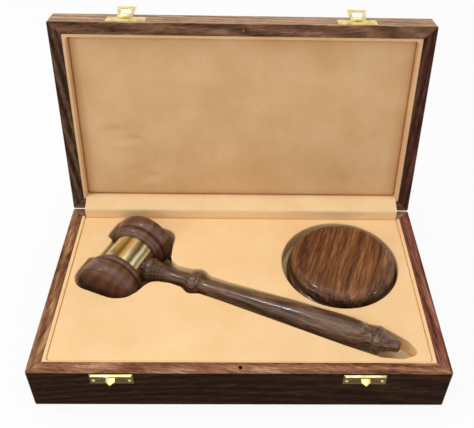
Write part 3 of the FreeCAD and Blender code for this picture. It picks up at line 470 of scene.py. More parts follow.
# Takes a piece that is laid out in the shut lid to its place in the lid as it stands open at rest.
OPENED = (Matrix.Translation(LID_HINGE) @ Matrix.Rotation(math.radians(-98), 4, "X")
          @ Matrix.Translation(-LID_HINGE))
FRONT_FACE, PLATE = -0.091, 0.0008
NAIL_DOME, NAIL_HEAD, NAIL_SHANK = 0.0006, 0.0013, 0.0006
NAIL_X, NAIL_Z, PLATES = 0.01345, 0.0083, (-0.0964, 0.0938)
SCREW_X, SCREW_IN, HINGES = 0.015, 0.005, (-0.1, 0.1)
FIXING_FACETS, SPIN_SEED, FULL_TURN = 24, 7, 6.283


def line_mesh(name, points):
    """Points in order, joined by edges."""
    mesh = bpy.data.meshes.new(name)
    mesh.from_pydata([tuple(point) for point in points], [(i, i + 1) for i in range(len(points) - 1)], [])
    return mesh


def turning_tree():
    """A lathe: each point of the half profile, its place along X and its radius in Z, goes round X."""
    tree = bpy.data.node_groups.new("turned_on_the_lathe", "GeometryNodeTree")
    face = tree.interface
    face.new_socket("Half profile", in_out="INPUT", socket_type="NodeSocketGeometry")
    for name, kind in (("Facets", "NodeSocketInt"), ("Turn", "NodeSocketFloat"), ("Start", "NodeSocketFloat"),
                       ("Finish", "NodeSocketMaterial")):
        face.new_socket(name, in_out="INPUT", socket_type=kind)
    face.new_socket("Turned piece", in_out="OUTPUT", socket_type="NodeSocketGeometry")
    given, out = add(tree, "NodeGroupInput"), tree.nodes.new("NodeGroupOutput")
    count = add(tree, "GeometryNodeAttributeDomainSize", {0: given.outputs["Half profile"]})
    rows = add(tree, "ShaderNodeMath", {0: count.outputs["Point Count"], 1: 1}, operation="SUBTRACT")
    columns = add(tree, "ShaderNodeMath", {0: given.outputs["Facets"], 1: 1}, operation="ADD")
    blank = add(tree, "GeometryNodeMeshGrid", {"Size X": rows.outputs[0], "Size Y": 1.0,
                                               "Vertices X": count.outputs["Point Count"],
                                               "Vertices Y": columns.outputs[0]})
    where = add(tree, "GeometryNodeInputPosition")
    split = add(tree, "ShaderNodeSeparateXYZ", {0: where.outputs[0]})
    half = add(tree, "ShaderNodeMath", {0: rows.outputs[0], 1: 0.5, 2: split.outputs["X"]},
               operation="MULTIPLY_ADD")
    row = add(tree, "ShaderNodeMath", {0: half.outputs[0]}, operation="ROUND")
    sampled = add(tree, "GeometryNodeSampleIndex", {
        "Geometry": given.outputs["Half profile"], "Value": where.outputs[0], "Index": row.outputs[0]},
        data_type="FLOAT_VECTOR", domain="POINT")
    at = add(tree, "ShaderNodeSeparateXYZ", {0: sampled.outputs[0]})
    share = add(tree, "ShaderNodeMath", {0: split.outputs["Y"], 1: 0.5}, operation="ADD")
    angle = add(tree, "ShaderNodeMath", {0: share.outputs[0], 1: given.outputs["Turn"],
                                         2: given.outputs["Start"]}, operation="MULTIPLY_ADD")
    cosine = add(tree, "ShaderNodeMath", {0: angle.outputs[0]}, operation="COSINE")
    sine = add(tree, "ShaderNodeMath", {0: angle.outputs[0]}, operation="SINE")
    across = add(tree, "ShaderNodeMath", {0: at.outputs["Z"], 1: cosine.outputs[0]}, operation="MULTIPLY")
    up = add(tree, "ShaderNodeMath", {0: at.outputs["Z"], 1: sine.outputs[0]}, operation="MULTIPLY")
    spun = add(tree, "ShaderNodeCombineXYZ", {0: at.outputs["X"], 1: across.outputs[0], 2: up.outputs[0]})
    moved = add(tree, "GeometryNodeSetPosition", {"Geometry": blank.outputs["Mesh"],
                                                  "Position": spun.outputs[0]})
    closed = add(tree, "GeometryNodeMergeByDistance", {"Geometry": moved.outputs[0], "Distance": 1e-6})
    real = add(tree, "GeometryNodeRealizeInstances", {0: closed.outputs[0]})
    done = add(tree, "GeometryNodeSetMaterial", {"Geometry": real.outputs[0],
                                                 "Material": given.outputs["Finish"]})
    tree.links.new(done.outputs[0], out.inputs[0])
    return tree


def setting_out_tree():
    """Stands a copy of one blank on each point, turned by the angles and driven in by a chance turn more."""
    tree = bpy.data.node_groups.new("fixings_set_out", "GeometryNodeTree")
    face = tree.interface
    face.new_socket("Places", in_out="INPUT", socket_type="NodeSocketGeometry")
    for name, kind in (("Blank", "NodeSocketObject"), ("Angles", "NodeSocketVector"),
                       ("Size", "NodeSocketFloat"), ("Finish", "NodeSocketMaterial")):
        face.new_socket(name, in_out="INPUT", socket_type=kind)
    face.new_socket("Fixings", in_out="OUTPUT", socket_type="NodeSocketGeometry")
    given, out = add(tree, "NodeGroupInput"), tree.nodes.new("NodeGroupOutput")
    blank = add(tree, "GeometryNodeObjectInfo", {"Object": given.outputs["Blank"]})
    turned = add(tree, "FunctionNodeEulerToRotation", {0: given.outputs["Angles"]})
    spin = add(tree, "FunctionNodeRandomValue", {"Seed": SPIN_SEED, 2: 0.0, 3: FULL_TURN},
               data_type="FLOAT")
    driven = add(tree, "FunctionNodeAxisAngleToRotation", {"Axis": (1, 0, 0), "Angle": spin.outputs[1]})
    both = add(tree, "FunctionNodeRotateRotation", {0: turned.outputs[0], 1: driven.outputs[0]},
               rotation_space="LOCAL")
    stood = add(tree, "GeometryNodeInstanceOnPoints", {
        "Points": given.outputs["Places"], "Instance": blank.outputs["Geometry"],
        "Rotation": both.outputs[0], "Scale": given.outputs["Size"]})
    real = add(tree, "GeometryNodeRealizeInstances", {0: stood.outputs[0]})
    done = add(tree, "GeometryNodeSetMaterial", {"Geometry": real.outputs[0],
                                                 "Material": given.outputs["Finish"]})
    tree.links.new(done.outputs[0], out.inputs[0])
    return tree


LATHE, SETTING_OUT = turning_tree(), setting_out_tree()


def worked(name, mesh, tree, smooth=SHARP, **inputs):
    """Runs a tree on a mesh and gives the plain mesh that it makes."""
    blank = bpy.data.objects.new(name + "_blank", mesh)
    scene.collection.objects.link(blank)
    modifier = blank.modifiers.new(tree.name, "NODES")
    modifier.node_group = tree
    named = {item.name: item.identifier for item in tree.interface.items_tree if item.in_out == "INPUT"}
    for key, value in inputs.items():
        modifier[named[key]] = value
    return plain_mesh(blank, name, smooth)


def turned(name, profile, material, facets=96, turn=2 * math.pi, start=0.0, smooth=SHARP):
    """A piece turned about X from its half profile of places and radii, all the way round or part of it."""
    return worked(name, line_mesh(name, [(x, 0, r) for x, r in profile]), LATHE, smooth,
                  Facets=facets, Turn=turn, Start=start, Finish=material)


nail_profile = [(NAIL_DOME * math.cos(t), NAIL_HEAD * math.sin(t)) for t in np.linspace(0, math.pi / 2, 7)]
nail_profile += [(0, NAIL_SHANK), (-0.0062, NAIL_SHANK), (-0.007, 0)]
screw_profile = [(0, 0), (0, 0.0004), (-0.00025, 0.0005), (-0.00025, 0.0006), (0, 0.0007), (0, 0.0019),
                 (-0.0009, 0.0011), (-0.0082, 0.0011), (-0.009, 0)]
nail_places = [Vector((x + side * NAIL_X, FRONT_FACE - PLATE, SEAM)) for x in PLATES for side in (-1, 1)]
screw_places = [Vector((x + side * SCREW_X, HINGE_Y - SCREW_IN, RIM_HEIGHT))
                for x in HINGES for side in (-1, 1)]
latch_angles, lid_screw_angles = [tuple((OPENED.to_3x3() @ Vector(way)).to_track_quat("X", "Z").to_euler())
                                  for way in ((0, -1, 0), (0, 0, -1))]
for name, profile, places, angles, body, node in (
        ("catch_nails", nail_profile, [p - Vector((0, 0, NAIL_Z)) for p in nail_places],
         (0, 0, -math.pi / 2), "case", "catch_plate_nails"),
        ("latch_nails", nail_profile, [OPENED @ (p + Vector((0, 0, NAIL_Z))) for p in nail_places],
         latch_angles, "lid", "latch_plate_nails"),
        ("base_screws", screw_profile, screw_places, (0, -math.pi / 2, 0), "case", "base_hinge_screws"),
        ("lid_screws", screw_profile, [OPENED @ (p + Vector((0, 0, PARTING))) for p in screw_places],
         lid_screw_angles, "lid", "lid_hinge_screws")):
    mesh = turned(name + "_turned", profile, sheet_brass, FIXING_FACETS)
    blank = bpy.data.objects.new(name + "_turned", mesh)
    scene.collection.objects.link(blank)
    mesh = worked(name, line_mesh(name, places), SETTING_OUT, Blank=blank, Angles=angles, Size=1.0,
                  Finish=sheet_brass)
    bpy.data.objects.remove(blank)
    shown(name, mesh, sheet_brass, body, [node])

# The locating dowel: a short pin of beech, turned and glued in the middle of the lid's front rim. When the
# case is shut, it enters a hole in the base's rim. The CAD dowel stays and gets the wood.

# Beech stained with the case: a plain mid brown with close rings, and no shine.
finish_node("lid_locating_dowel", timber("beech_dowel", ["#5A3E2C", "#7B5A41", "#96755A"], turn=ALONG_LID,
                                         pith=(0.4, 0.01, 0.02), ring=0.001))

# The lid's lining: strips of the same covered card as the base's round three sides, and a thin one at the
# hinges, where the cloth strip lies over it. It is bent round the corners, and shows as a pale edge.

LINED_X, LINED_Y, LID_SEAM, UNDER_BOARD = 0.1495, 0.0805, 0.0426, 0.0609
LID_STRIP, HINGE_SIDE_STRIP, LID_EASE = 0.0028, 0.0013, 0.0006
LID_CORNER, NEAR_CORNER, HINGE_CORNER = 0.0012, 0.0035, 0.001
outer = rounded([(x * LINED_X, y * LINED_Y, LID_CORNER) for x, y in ((-1, -1), (1, -1), (1, 1), (-1, 1))])
x, front, back = LINED_X - LID_STRIP, LID_STRIP - LINED_Y, LINED_Y - HINGE_SIDE_STRIP
inner = rounded([(-x, front, NEAR_CORNER), (x, front, NEAR_CORNER), (x, back, HINGE_CORNER),
                 (-x, back, HINGE_CORNER)])
mesh = covered_board("lid_lining", [outer, inner], LID_SEAM, UNDER_BOARD, LID_EASE)
mesh.transform(OPENED)
# In the open lid the same suede is drawn darker and browner: painted shade on cloth facing away from the
# light above.
lid_edge_suede_painted_shade = suede("suede_lid_lining_painted_shade", "#E6BE92", "#DAAF80")
shown("lid_lining", mesh, lid_edge_suede_painted_shade, "lid",
      [f"lid_{side}_lining" for side in ("front", "back", "left", "right")])

# The lid's panel: a board padded with soft foam and covered in suede cloth, which is drawn round its edges
# and swells under the foam's pressure. The two ends of the gavel's head press into it when the case is
# shut, and have left two shallow dents in it, with short creases and ridges round them.

PAD_X, PAD_NEAR, PAD_FAR, PAD_FACE, PAD_BACK = 0.1464, -0.0774, 0.0789, 0.0482, 0.0609
CROWN, SLACK, PULLED_IN, SOFT_EDGE = 0.0016, 0.0008, 0.0022, 0.011
SIDE_ROWS, PRESSURE, TICKS, PAD_SHARP = (0.35, 0.65), 4, 20, math.radians(70)
# Each dent's middle and depth, and how far all of them reach.
DENTS = (((-0.1124, 0.0145), 0.0016), ((-0.0925, 0.0575), 0.0014))
DENT_X, DENT_Y = 0.011, 0.0115
# Each crease's middle, its reach along X and Y, and its depth, which is negative in a ridge.
CREASES = ((-0.1155, 0.0100, 0.008, 0.0026, 0.0019), (-0.0975, 0.0185, 0.006, 0.0026, 0.0015),
           (-0.1085, 0.0265, 0.009, 0.0040, -0.0009), (-0.1025, 0.0515, 0.005, 0.0026, 0.0015),
           (-0.0830, 0.0575, 0.005, 0.0026, 0.0015), (-0.0870, 0.0660, 0.008, 0.0040, -0.0008))
CREASE_REACH = 0.004
pad = bmesh.new()
# Cells 4 mm across, which one subdivision halves.
columns, rows = 74, 40
across, along = np.linspace(-PAD_X, PAD_X, columns + 1), np.linspace(PAD_NEAR, PAD_FAR, rows + 1)
loops = []
for z in (PAD_FACE, PAD_BACK):
    grid = [[pad.verts.new((x, y, z)) for y in along] for x in across]
    for i in range(columns):
        for j in range(rows):
            pad.faces.new((grid[i][j], grid[i][j + 1], grid[i + 1][j + 1], grid[i + 1][j]))
    loops.append([grid[i][0] for i in range(columns)] + [grid[columns][j] for j in range(rows)]
                 + [grid[i][rows] for i in range(columns, 0, -1)] + [grid[0][j] for j in range(rows, 0, -1)])
for share in SIDE_ROWS:
    z = PAD_FACE + (PAD_BACK - PAD_FACE) * share
    loops.insert(-1, [pad.verts.new((vert.co.x, vert.co.y, z)) for vert in loops[0]])
for last, now in zip(loops, loops[1:]):
    for i in range(len(now)):
        j = (i + 1) % len(now)
        pad.faces.new((last[i], last[j], now[j], now[i]))
for vert in pad.verts:
    edge = min(PAD_X - abs(vert.co.x), vert.co.y - PAD_NEAR, PAD_FAR - vert.co.y)
    if vert.co.z < PAD_FACE + 1e-6:
        vert.co.z += SLACK + (PULLED_IN - SLACK) * max(0, 1 - edge / SOFT_EDGE) ** 2
bmesh.ops.recalc_face_normals(pad, faces=pad.faces)
mesh = bpy.data.meshes.new("lid_panel")
pad.to_mesh(mesh)
pad.free()
panel = bpy.data.objects.new("lid_panel_blank", mesh)
scene.collection.objects.link(panel)
start = np.array([vert.co for vert in mesh.vertices])
edge = np.minimum(PAD_X - abs(start[:, 0]), np.minimum(start[:, 1] - PAD_NEAR, PAD_FAR - start[:, 1]))
free = (start[:, 2] < PAD_FACE + PULLED_IN - 1e-6) & (edge > 1e-4)
swell = np.zeros(len(start))
glued = panel.vertex_groups.new(name="glued_down")
glued.add([int(i) for i in np.flatnonzero(~free)], 1.0, "REPLACE")
cloth = panel.modifiers.new("swelling", "CLOTH")
cloth.settings.vertex_group_mass = "glued_down"
cloth.settings.use_pressure, cloth.settings.uniform_pressure_force = True, PRESSURE
cloth.settings.effector_weights.gravity = 0
for tick in range(1, TICKS + 1):
    scene.frame_set(tick)
swollen = panel.evaluated_get(bpy.context.evaluated_depsgraph_get()).to_mesh()
swell = start[:, 2] - np.array([vert.co.z for vert in swollen.vertices])
panel.modifiers.remove(cloth)
scene.frame_set(1)
print("lid panel swelled by", round(1000 * float(swell.max()), 2), "mm")
# The swelling is capped, and the crown of the CAD pad is the highest that the cloth may reach.
plump = CROWN * (1 - ((start[:, 1] - (PAD_NEAR + PAD_FAR) / 2) / (PAD_FAR - PAD_NEAR) * 2) ** 2)
lifted = np.where(free, np.clip(swell, 0, CROWN + SLACK), 0)
level = np.where(free, np.maximum(start[:, 2] - lifted, PAD_FACE - plump), start[:, 2])
for (x, y), deep in DENTS:
    far = ((start[:, 0] - x) / DENT_X) ** 2 + ((start[:, 1] - y) / DENT_Y) ** 2
    level = level + np.where(free, deep * np.exp(-far), 0)
for vert, z in zip(mesh.vertices, level):
    vert.co.z = z
finer = panel.modifiers.new("finer", "SUBSURF")
finer.levels = finer.render_levels = 1
mesh = plain_mesh(panel, "lid_panel", PAD_SHARP)
for x, y, long, wide, deep in CREASES:
    for vert in mesh.vertices:
        if vert.co.z < PAD_FACE + CREASE_REACH:
            far = ((vert.co.x - x) / long) ** 2 + ((vert.co.y - y) / wide) ** 2
            vert.co.z += deep * math.exp(-far)
mesh.transform(OPENED)
# The lid's darker suede again, its darkness painted shade, over foam: its broad soft hollows are over twice
# as deep as on card.
lid_suede_painted_shade = suede("suede_lid_panel_painted_shade", "#E2BB8D", "#D5AB79", hollow_depth=0.0015)
piece = shown("lid_panel", mesh, lid_suede_painted_shade, "lid", ["lid_pad"])
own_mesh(piece)

# The cloth strip over the hinges: the same suede cloth on thin card, tucked behind the insert at the
# bottom, folded back over the rims and tucked against the lid's lining.

COVER_X, COVER_THICK, COVER_COLUMNS = 0.1464, 0.0008, 99
# Where the strip starts, its two folds and its end, back and up, and how far from each fold it bends.
COVER_RUN = [Vector(point) for point in ((0.0801, 0.0362), (0.0801, 0.0512), (0.09311, 0.05505),
                                         (0.09826, 0.05432))]
FOLD_REACH, RISE = (0.0021, 0.0016), 0.86
section = [COVER_RUN[0].lerp(COVER_RUN[1], step / 8 * RISE) for step in range(8)]
for i, ease in enumerate(FOLD_REACH, 1):
    before, fold, after = COVER_RUN[i - 1:i + 2]
    start, end = fold + (before - fold).normalized() * ease, fold + (after - fold).normalized() * ease
    if i == 2:
        # The straight run between the two folds.
        section += [section[-1].lerp(start, step / 6) for step in range(1, 6)]
    for step in range(9):
        t = step / 8
        section.append(start * (1 - t) ** 2 + fold * 2 * t * (1 - t) + end * t ** 2)
section += [section[-1].lerp(COVER_RUN[3], step / 3) for step in range(1, 4)]
cover = bmesh.new()
across = np.linspace(-COVER_X, COVER_X, COVER_COLUMNS)
grid = [[cover.verts.new((x, point.x, point.y)) for point in section] for x in across]
for i in range(len(across) - 1):
    for j in range(len(section) - 1):
        cover.faces.new((grid[i][j], grid[i + 1][j], grid[i + 1][j + 1], grid[i][j + 1]))
mesh = bpy.data.meshes.new("hinge_strip")
cover.to_mesh(mesh)
cover.free()
strip = bpy.data.objects.new("hinge_strip_blank", mesh)
scene.collection.objects.link(strip)
thick = strip.modifiers.new("thick", "SOLIDIFY")
thick.thickness, thick.offset = COVER_THICK, -1
# The lining's suede where it lies up to the light, drawn a touch less orange as painted light, with the
# same soft clouding.
strip_suede_painted_light = suede("suede_hinge_strip_painted_light", "#F9D9A8", "#F0CC98")
piece = shown("hinge_strip", plain_mesh(strip, "hinge_strip"), strip_suede_painted_light,
              stands_for=["hinge_cover"])
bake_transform(piece)

# The gavel's head: turned in rosewood between centres, with beads, fine rings and a domed face at each end,
# then sanded, sealed and polished on the lathe. The waist between is plain, for the band.

# The gavel lies with its head in the well and the end of its handle a little higher.
HEAD_HEIGHT, HANDLE_TILT = 0.0314, math.radians(-2.1)
GAVEL = (Matrix.Translation((HEAD_AT.x, HEAD_AT.y, HEAD_HEIGHT)) @ Matrix.Rotation(TURN, 4, "Z")
         @ Matrix.Rotation(HANDLE_TILT, 4, "Y"))
WAIST, BAND, TURNED_SHARP = 0.0197, 0.0006, math.radians(28)


def stations(shares, along, across, steps=7):
    """The points of a turned profile from its ends' places, radii and bulges, as shares of a length and a
    radius. The stretch up to an end swells by its bulge, is hollowed if that is negative, or is straight."""
    points = []
    for i, (place, radius, bulge) in enumerate(shares):
        end = Vector((place * along, radius * across))
        if not i:
            points.append(end)
            continue
        last = points[-1].copy()
        if end.y == 0:
            rise = abs(end.x - last.x)
            ball = (last.y ** 2 + rise ** 2) / (2 * rise)
            angle = math.asin(last.y / ball)
            way = 1 if end.x > last.x else -1
            for step in range(1, 2 * steps + 1):
                t = angle * (1 - step / (2 * steps))
                points.append(Vector((end.x - way * ball * (1 - math.cos(t)), ball * math.sin(t))))
        elif bulge:
            run = end - last
            rise = bulge * across
            out = Vector((-run.y, run.x)).normalized()
            ball = (run.length ** 2 / 4 + rise ** 2) / (2 * rise)
            for step in range(1, steps + 1):
                t = step / steps
                chord = (t - 0.5) * run.length
                lift = math.copysign(math.sqrt(ball ** 2 - chord ** 2), ball) - (ball - rise)
                points.append(last + run * t + out * lift)
        else:
            points.append(end)
    return points


# Half the head, from the waist out to the dome, in half lengths and radii of the head.
HEAD = [(0.349, 0.761, 0), (0.4, 0.845, 0.02), (0.412, 0.832, 0), (0.424, 0.858, 0), (0.536, 0.872, 0.05),
        (0.552, 0.826, 0), (0.566, 0.82, 0), (0.584, 0.856, 0), (0.606, 0.93, 0.012), (0.86, 0.972, 0.03),
        (0.925, 0.888, 0.02), (0.933, 0.858, 0), (0.943, 0.858, 0), (0.96, 0.822, 0), (1.0, 0, 0)]
half = stations([(0.349, WAIST / HEAD_RADIUS, 0)] + HEAD, HEAD_HALF, HEAD_RADIUS)
profile = [Vector((-p.x, p.y)) for p in reversed(half)] + half
# Rosewood under a clear polish: red-brown and even, with broad soft bands along the head and a wet-looking
# gloss that follows the beads.
head_wood = timber("rosewood_head", ["#3F261B", "#583829", "#704936", "#8B6047"],
                   turn=(0, 0, -math.pi / 2 - TURN), pith=(0.2, 0.03, 0.05), ring=0.009, figure=0.15,
                   streak=0.5, width=0.02, fine=0.12, gloss=0.3, shine=0.12, varnish=0.55)
mesh = turned("head_turned", profile, head_wood, facets=128, smooth=TURNED_SHARP)
mesh.transform(GAVEL @ Matrix.Rotation(math.pi / 2, 4, "Z"))
shown("gavel_head_turned", mesh, head_wood, "gavel", ["gavel_head"])

# The presentation band: thin polished brass sheet bent round the waist and held by its spring. Its streaks
# along the axis are painted reflections in its colour. It is open at the handle.

HALF_BAND, HALF_GAP, BAND_FACETS = 0.0133, math.radians(30), 110
# The painted reflection streaks lie between these angles round the waist, in radians, and their edges
# wander with a noise whose spots are 14 mm across.
FIRST_PAINTED_STREAK, LAST_PAINTED_STREAK, STREAK_WANDER = 0.57, 2.67, 70
# Polished yellow brass with painted reflections: streaks 2 to 5 mm wide, painted nearly white like a
# mirrored lamp and olive like the mirrored dark room between.
band_brass_painted, tree, shader = started("brass_band_painted_reflections")
bend = add(tree, "ShaderNodeAttribute", attribute_name="bend")
place = add(tree, "ShaderNodeTexCoord")
streak_wander_noise = add(tree, "ShaderNodeTexNoise", {"Vector": place.outputs["Object"], "Scale": STREAK_WANDER, "Detail": 3})
wander = add(tree, "ShaderNodeMath", {0: streak_wander_noise.outputs["Fac"], 1: 0.1, 2: bend.outputs["Fac"]},
             operation="MULTIPLY_ADD")
around = add(tree, "ShaderNodeMapRange", {"Value": wander.outputs[0], "From Min": FIRST_PAINTED_STREAK,
                                          "From Max": LAST_PAINTED_STREAK})
painted_reflection_ramp = add(tree, "ShaderNodeValToRGB", {"Fac": around.outputs[0]}, [
    (0.0, "#B0A070"), (0.08, "#7C714C"), (0.16, "#DED6A6"), (0.27, "#F5F2C8"), (0.36, "#FFFDE4"),
    (0.45, "#BDA966"), (0.5, "#94804A"), (0.56, "#E6D58E"), (0.64, "#FFF8DC"), (0.7, "#A89A63"),
    (0.78, "#625737"), (0.85, "#F3EAC2"), (0.91, "#7D6F46"), (1.0, "#CDBC80")])
tree.links.new(painted_reflection_ramp.outputs["Color"], shader.inputs["Base Color"])
edges = add(tree, "ShaderNodeBump", {"Height": painted_reflection_ramp.outputs["Color"], "Strength": 0.3, "Distance": 0.0003})
tree.links.new(edges.outputs[0], shader.inputs["Normal"])
shader.inputs["Metallic"].default_value = 1
shader.inputs["Roughness"].default_value = 0.2
mesh = turned("band_bent", [(-HALF_BAND, WAIST + BAND), (HALF_BAND, WAIST + BAND)], band_brass_painted, BAND_FACETS,
              2 * math.pi - 2 * HALF_GAP, math.pi + HALF_GAP)
bent = bpy.data.objects.new("band_blank", mesh)
scene.collection.objects.link(bent)
thick = bent.modifiers.new("thick", "SOLIDIFY")
thick.thickness, thick.offset = BAND, -1
mesh = plain_mesh(bent, "band_bent")
angles = mesh.attributes.new("bend", "FLOAT", "POINT")
angles.data.foreach_set("value", [math.atan2(vert.co.z, vert.co.y) for vert in mesh.vertices])
mesh.transform(GAVEL @ Matrix.Rotation(math.pi / 2, 4, "Z"))
shown("gavel_band_bent", mesh, band_brass_painted, "gavel", ["gavel_band"])

# The handle: turned from the same rosewood, with a collar, a slim neck, a ring, a long swelling grip and
# a small finial. Its foot is hollowed to sit on the waist and has a tenon glued in the head.

# From the foot to the finial, in lengths of the handle and radii of the grip.
SPINDLE = [(0.062, 0.82, 0), (0.083, 0.82, 0), (0.1125, 0.82, 0.125), (0.1165, 0.76, 0),
           (0.1255, 0.76, 0.065), (0.1295, 0.70, 0), (0.138, 0.70, 0.06), (0.142, 0.64, 0),
           (0.149, 0.66, 0.03), (0.153, 0.63, 0), (0.203, 0.483, -0.04), (0.241, 0.474, -0.006),
           (0.2494, 0.586, -0.03), (0.2932, 0.586, 0.32), (0.3009, 0.50, -0.02), (0.3325, 0.496, 0),
           (0.568, 0.733, -0.022), (0.795, 1.0, 0.047), (0.8516, 0.948, 0.012), (0.8893, 0.664, 0.078),
           (0.8986, 0.629, 0), (0.9084, 0.69, -0.02), (0.9408, 0.741, 0.275), (0.953, 0.62, -0.02),
           (0.9834, 0.431, -0.026), (0.9951, 0.362, 0.03), (1.0, 0, 0)]
TENON, TENON_RADIUS, FOOT = 0.016, 0.0065, 0.0148
# The same wood, with the grain along it: grey-brown in long dark and pale streaks, under the same polish.
handle_wood = timber("rosewood_handle", ["#2E1D15", "#4C3524", "#6C4D38", "#947358"], turn=(0, 0, -TURN),
                     pith=(0.6, 0.02, 0.03), ring=0.003, lean=0.02, figure=0.15, width=0.006, gloss=0.3,
                     shine=0.12, varnish=0.5)
profile = [Vector(end) for end in ((WAIST - TENON, 0), (WAIST - TENON, TENON_RADIUS), (FOOT, TENON_RADIUS))]
profile += stations(SPINDLE, HANDLE, GRIP)
mesh = turned("handle_turned", profile, handle_wood, smooth=TURNED_SHARP)
mesh.transform(GAVEL)
shown("gavel_handle_turned", mesh, handle_wood, "gavel", ["gavel_handle"])

# The sound block: turned from one slice of streaked hardwood with the grain across it, with a foot rim, a
# quirk and a broad rounded shoulder, polished. A disc of dark felt is glued under it.

BLOCK_AT, BLOCK_FOOT, BLOCK_HEIGHT, BLOCK_RADIUS = (0.0886, 0.0217), 0.02703, 0.0211, 0.0482
FELT, FELT_RADIUS = 0.0012, 0.0458
# From the foot up to the middle of the face, in heights and radii of the block.
BLOCK = [(0, 0.975, 0), (0.06, 1.0, 0.008), (0.27, 1.0, 0), (0.35, 0.972, 0.008), (0.385, 0.938, 0),
         (0.42, 0.945, 0), (0.52, 0.957, 0.003), (0.975, 0.80, 0.055), (1.0, 0, 0)]
# Streaked hardwood under a thin polish: orange-brown with near-black streaks on the face. The shoulder and
# sides take darker tones than the top: painted shade where the wood turns away from the light above.
block_wood = timber("streaked_block_wood", ["#170D07", "#301C11", "#442B1B", "#583A25", "#715037"],
                    ["#2B180E", "#4E2E1C", "#6C4228", "#865735", "#A87A4C"],
                    turn=(0, 0, math.radians(-72)), pith=(0.1, 0.03, 0.05), ring=0.007, figure=0.12,
                    streak=1.0, width=0.012, gloss=0.3, shine=0.06, varnish=0.3)
profile = [Vector((0, 0))] + stations(BLOCK, BLOCK_HEIGHT, BLOCK_RADIUS)
mesh = turned("block_turned", profile, block_wood, facets=160, smooth=TURNED_SHARP)
mesh.transform(Matrix.Translation((*BLOCK_AT, BLOCK_FOOT + FELT)) @ Matrix.Rotation(-math.pi / 2, 4, "Y"))
shown("sound_block_turned", mesh, block_wood, "block", ["sound_block"])

# Dark brown wool felt, pressed and cut: quite matt, with a fluff that catches a little light at the rim.
# Its fibres, 0.03 mm thick, are too fine to show here, so they are drawn as tufts 1.4 mm across.
FLUFF = 700
felt, tree, shader = started("wool_felt_dark")
place = add(tree, "ShaderNodeTexCoord")
fluff = add(tree, "ShaderNodeTexNoise", {"Vector": place.outputs["Object"], "Scale": FLUFF, "Detail": 4})
tone = add(tree, "ShaderNodeValToRGB", {"Fac": fluff.outputs["Fac"]}, [(0.3, "#1E1511"), (0.7, "#3A2C24")])
tree.links.new(tone.outputs["Color"], shader.inputs["Base Color"])
raised = add(tree, "ShaderNodeBump", {"Height": fluff.outputs["Fac"], "Strength": 0.6, "Distance": 0.0004})
tree.links.new(raised.outputs[0], shader.inputs["Normal"])
shader.inputs["Roughness"].default_value = 0.95
shader.inputs["Sheen Weight"].default_value = 0.3
disc = turned("felt_disc", [(0, 0), (0, 0.045), (0.0003, FELT_RADIUS), (0.0009, FELT_RADIUS), (FELT, 0.0454),
                            (FELT, 0)], felt)
disc.transform(Matrix.Translation((*BLOCK_AT, BLOCK_FOOT)) @ Matrix.Rotation(-math.pi / 2, 4, "Y"))
shown("block_felt_disc", disc, felt, "block", ["sound_block_felt"])

# The studio: a pale floor that keeps the case's shadow, a white surround, a broad lamp overhead with a
# small one beside it, a low one at each side, a broad one in front, and the camera where the photograph
# was taken.

# Half the floor's width, the share of it that is seen as pure white, and how strongly the surround lights.
FLOOR_HALF, FLOOR_WHITE, SURROUND = 8, 0.91, 0.54


def in_sight(tree):
    """1 for what is seen, straight, mirrored or through glass, and 0 for what only lights the object."""
    rays = add(tree, "ShaderNodeLightPath")
    seen = add(tree, "ShaderNodeMath", {0: rays.outputs["Is Camera Ray"], 1: rays.outputs["Is Glossy Ray"]},
               operation="MAXIMUM")
    return add(tree, "ShaderNodeMath", {0: seen.outputs[0], 1: rays.outputs["Is Transmission Ray"]},
               operation="MAXIMUM").outputs[0]


floor_mesh = bpy.data.meshes.new("floor")
corners = [(x * FLOOR_HALF, y * FLOOR_HALF, 0) for x, y in ((-1, -1), (1, -1), (1, 1), (-1, 1))]
floor_mesh.from_pydata(corners, [], [(0, 1, 2, 3)])
floor = bpy.data.objects.new("floor", floor_mesh)
scene.collection.objects.link(floor)
# Matt white paper, seen almost at full white, with a little of its own shade left so a shadow shows.
paper, tree, shader = started("white_paper_floor")
tree.nodes.remove(shader)
share = add(tree, "ShaderNodeMath", {0: in_sight(tree), 1: FLOOR_WHITE}, operation="MULTIPLY")
matt = add(tree, "ShaderNodeBsdfDiffuse", {"Color": linear("#EDEDEB")})
white = add(tree, "ShaderNodeEmission", {"Color": (1, 1, 1, 1), "Strength": 1.0})
both = add(tree, "ShaderNodeMixShader", {0: share.outputs[0], 1: matt.outputs[0], 2: white.outputs[0]})
tree.links.new(both.outputs[0], tree.nodes["Material Output"].inputs["Surface"])
floor_mesh.materials.append(paper)

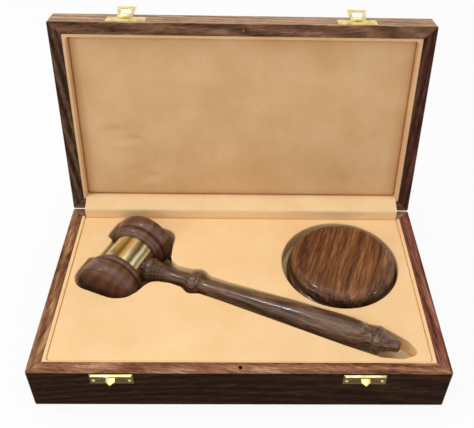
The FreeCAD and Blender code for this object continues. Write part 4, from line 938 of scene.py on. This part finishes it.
world = bpy.data.worlds.new("white_surround")
scene.world = world
world.use_nodes = True
tree = world.node_tree
level = add(tree, "ShaderNodeMix", {0: in_sight(tree), 2: SURROUND, 3: 1.0}, data_type="FLOAT")
background = tree.nodes["Background"]
background.inputs["Color"].default_value = (1, 1, 1, 1)
tree.links.new(level.outputs[0], background.inputs["Strength"])

for name, place, size, power in (("lamp_over", (-0.5, 0.1, 1.35), 0.07, 3.0),
                                 ("lamp_sky", (0, 0.12, 1.6), 1.5, 7.0),
                                 ("lamp_left", (-1.15, -0.65, 0.6), 0.07, 2.2),
                                 ("lamp_right", (1.15, -0.45, 0.65), 0.07, 1.3),
                                 ("lamp_front", (-1.3, -1.6, 1.3), 1.2, 5.5)):
    lamp = bpy.data.lights.new(name, "AREA")
    lamp.shape, lamp.size, lamp.energy = "SQUARE", size, power
    holder = bpy.data.objects.new(name, lamp)
    holder.location = place
    holder.rotation_euler = (-Vector(place)).to_track_quat("-Z", "Y").to_euler()
    scene.collection.objects.link(holder)

# The camera's place, fitted to the case's edges in the photograph, and its angles in radians.
CAMERA_AT, DOWN, YAW, ROLL = (-0.00074, -0.37547, 0.4628), 0.69114, -0.026725, 0.02623
FOCAL, SENSOR, SHIFT_X, SHIFT_Y, NEAREST, FARTHEST = 49.68, 36, -0.0372, -0.0673, 0.01, 50
spin = Matrix.Rotation(YAW, 3, "Z")
ahead = spin @ Vector((0, math.cos(DOWN), -math.sin(DOWN)))
top = spin @ Vector((0, math.sin(DOWN), math.cos(DOWN)))
across = spin @ Vector((1, 0, 0))
right = math.cos(ROLL) * across + math.sin(ROLL) * top
upward = math.cos(ROLL) * top - math.sin(ROLL) * across
lens = bpy.data.cameras.new("camera")
lens.lens, lens.sensor_width, lens.shift_x, lens.shift_y = FOCAL, SENSOR, SHIFT_X, SHIFT_Y
lens.clip_start, lens.clip_end = NEAREST, FARTHEST
camera = bpy.data.objects.new("camera", lens)
turned_to_case = Matrix((right, upward, -ahead)).transposed().to_4x4()
camera.matrix_world = Matrix.Translation(CAMERA_AT) @ turned_to_case
scene.collection.objects.link(camera)
scene.camera = camera
scene.view_settings.view_transform = "Standard"
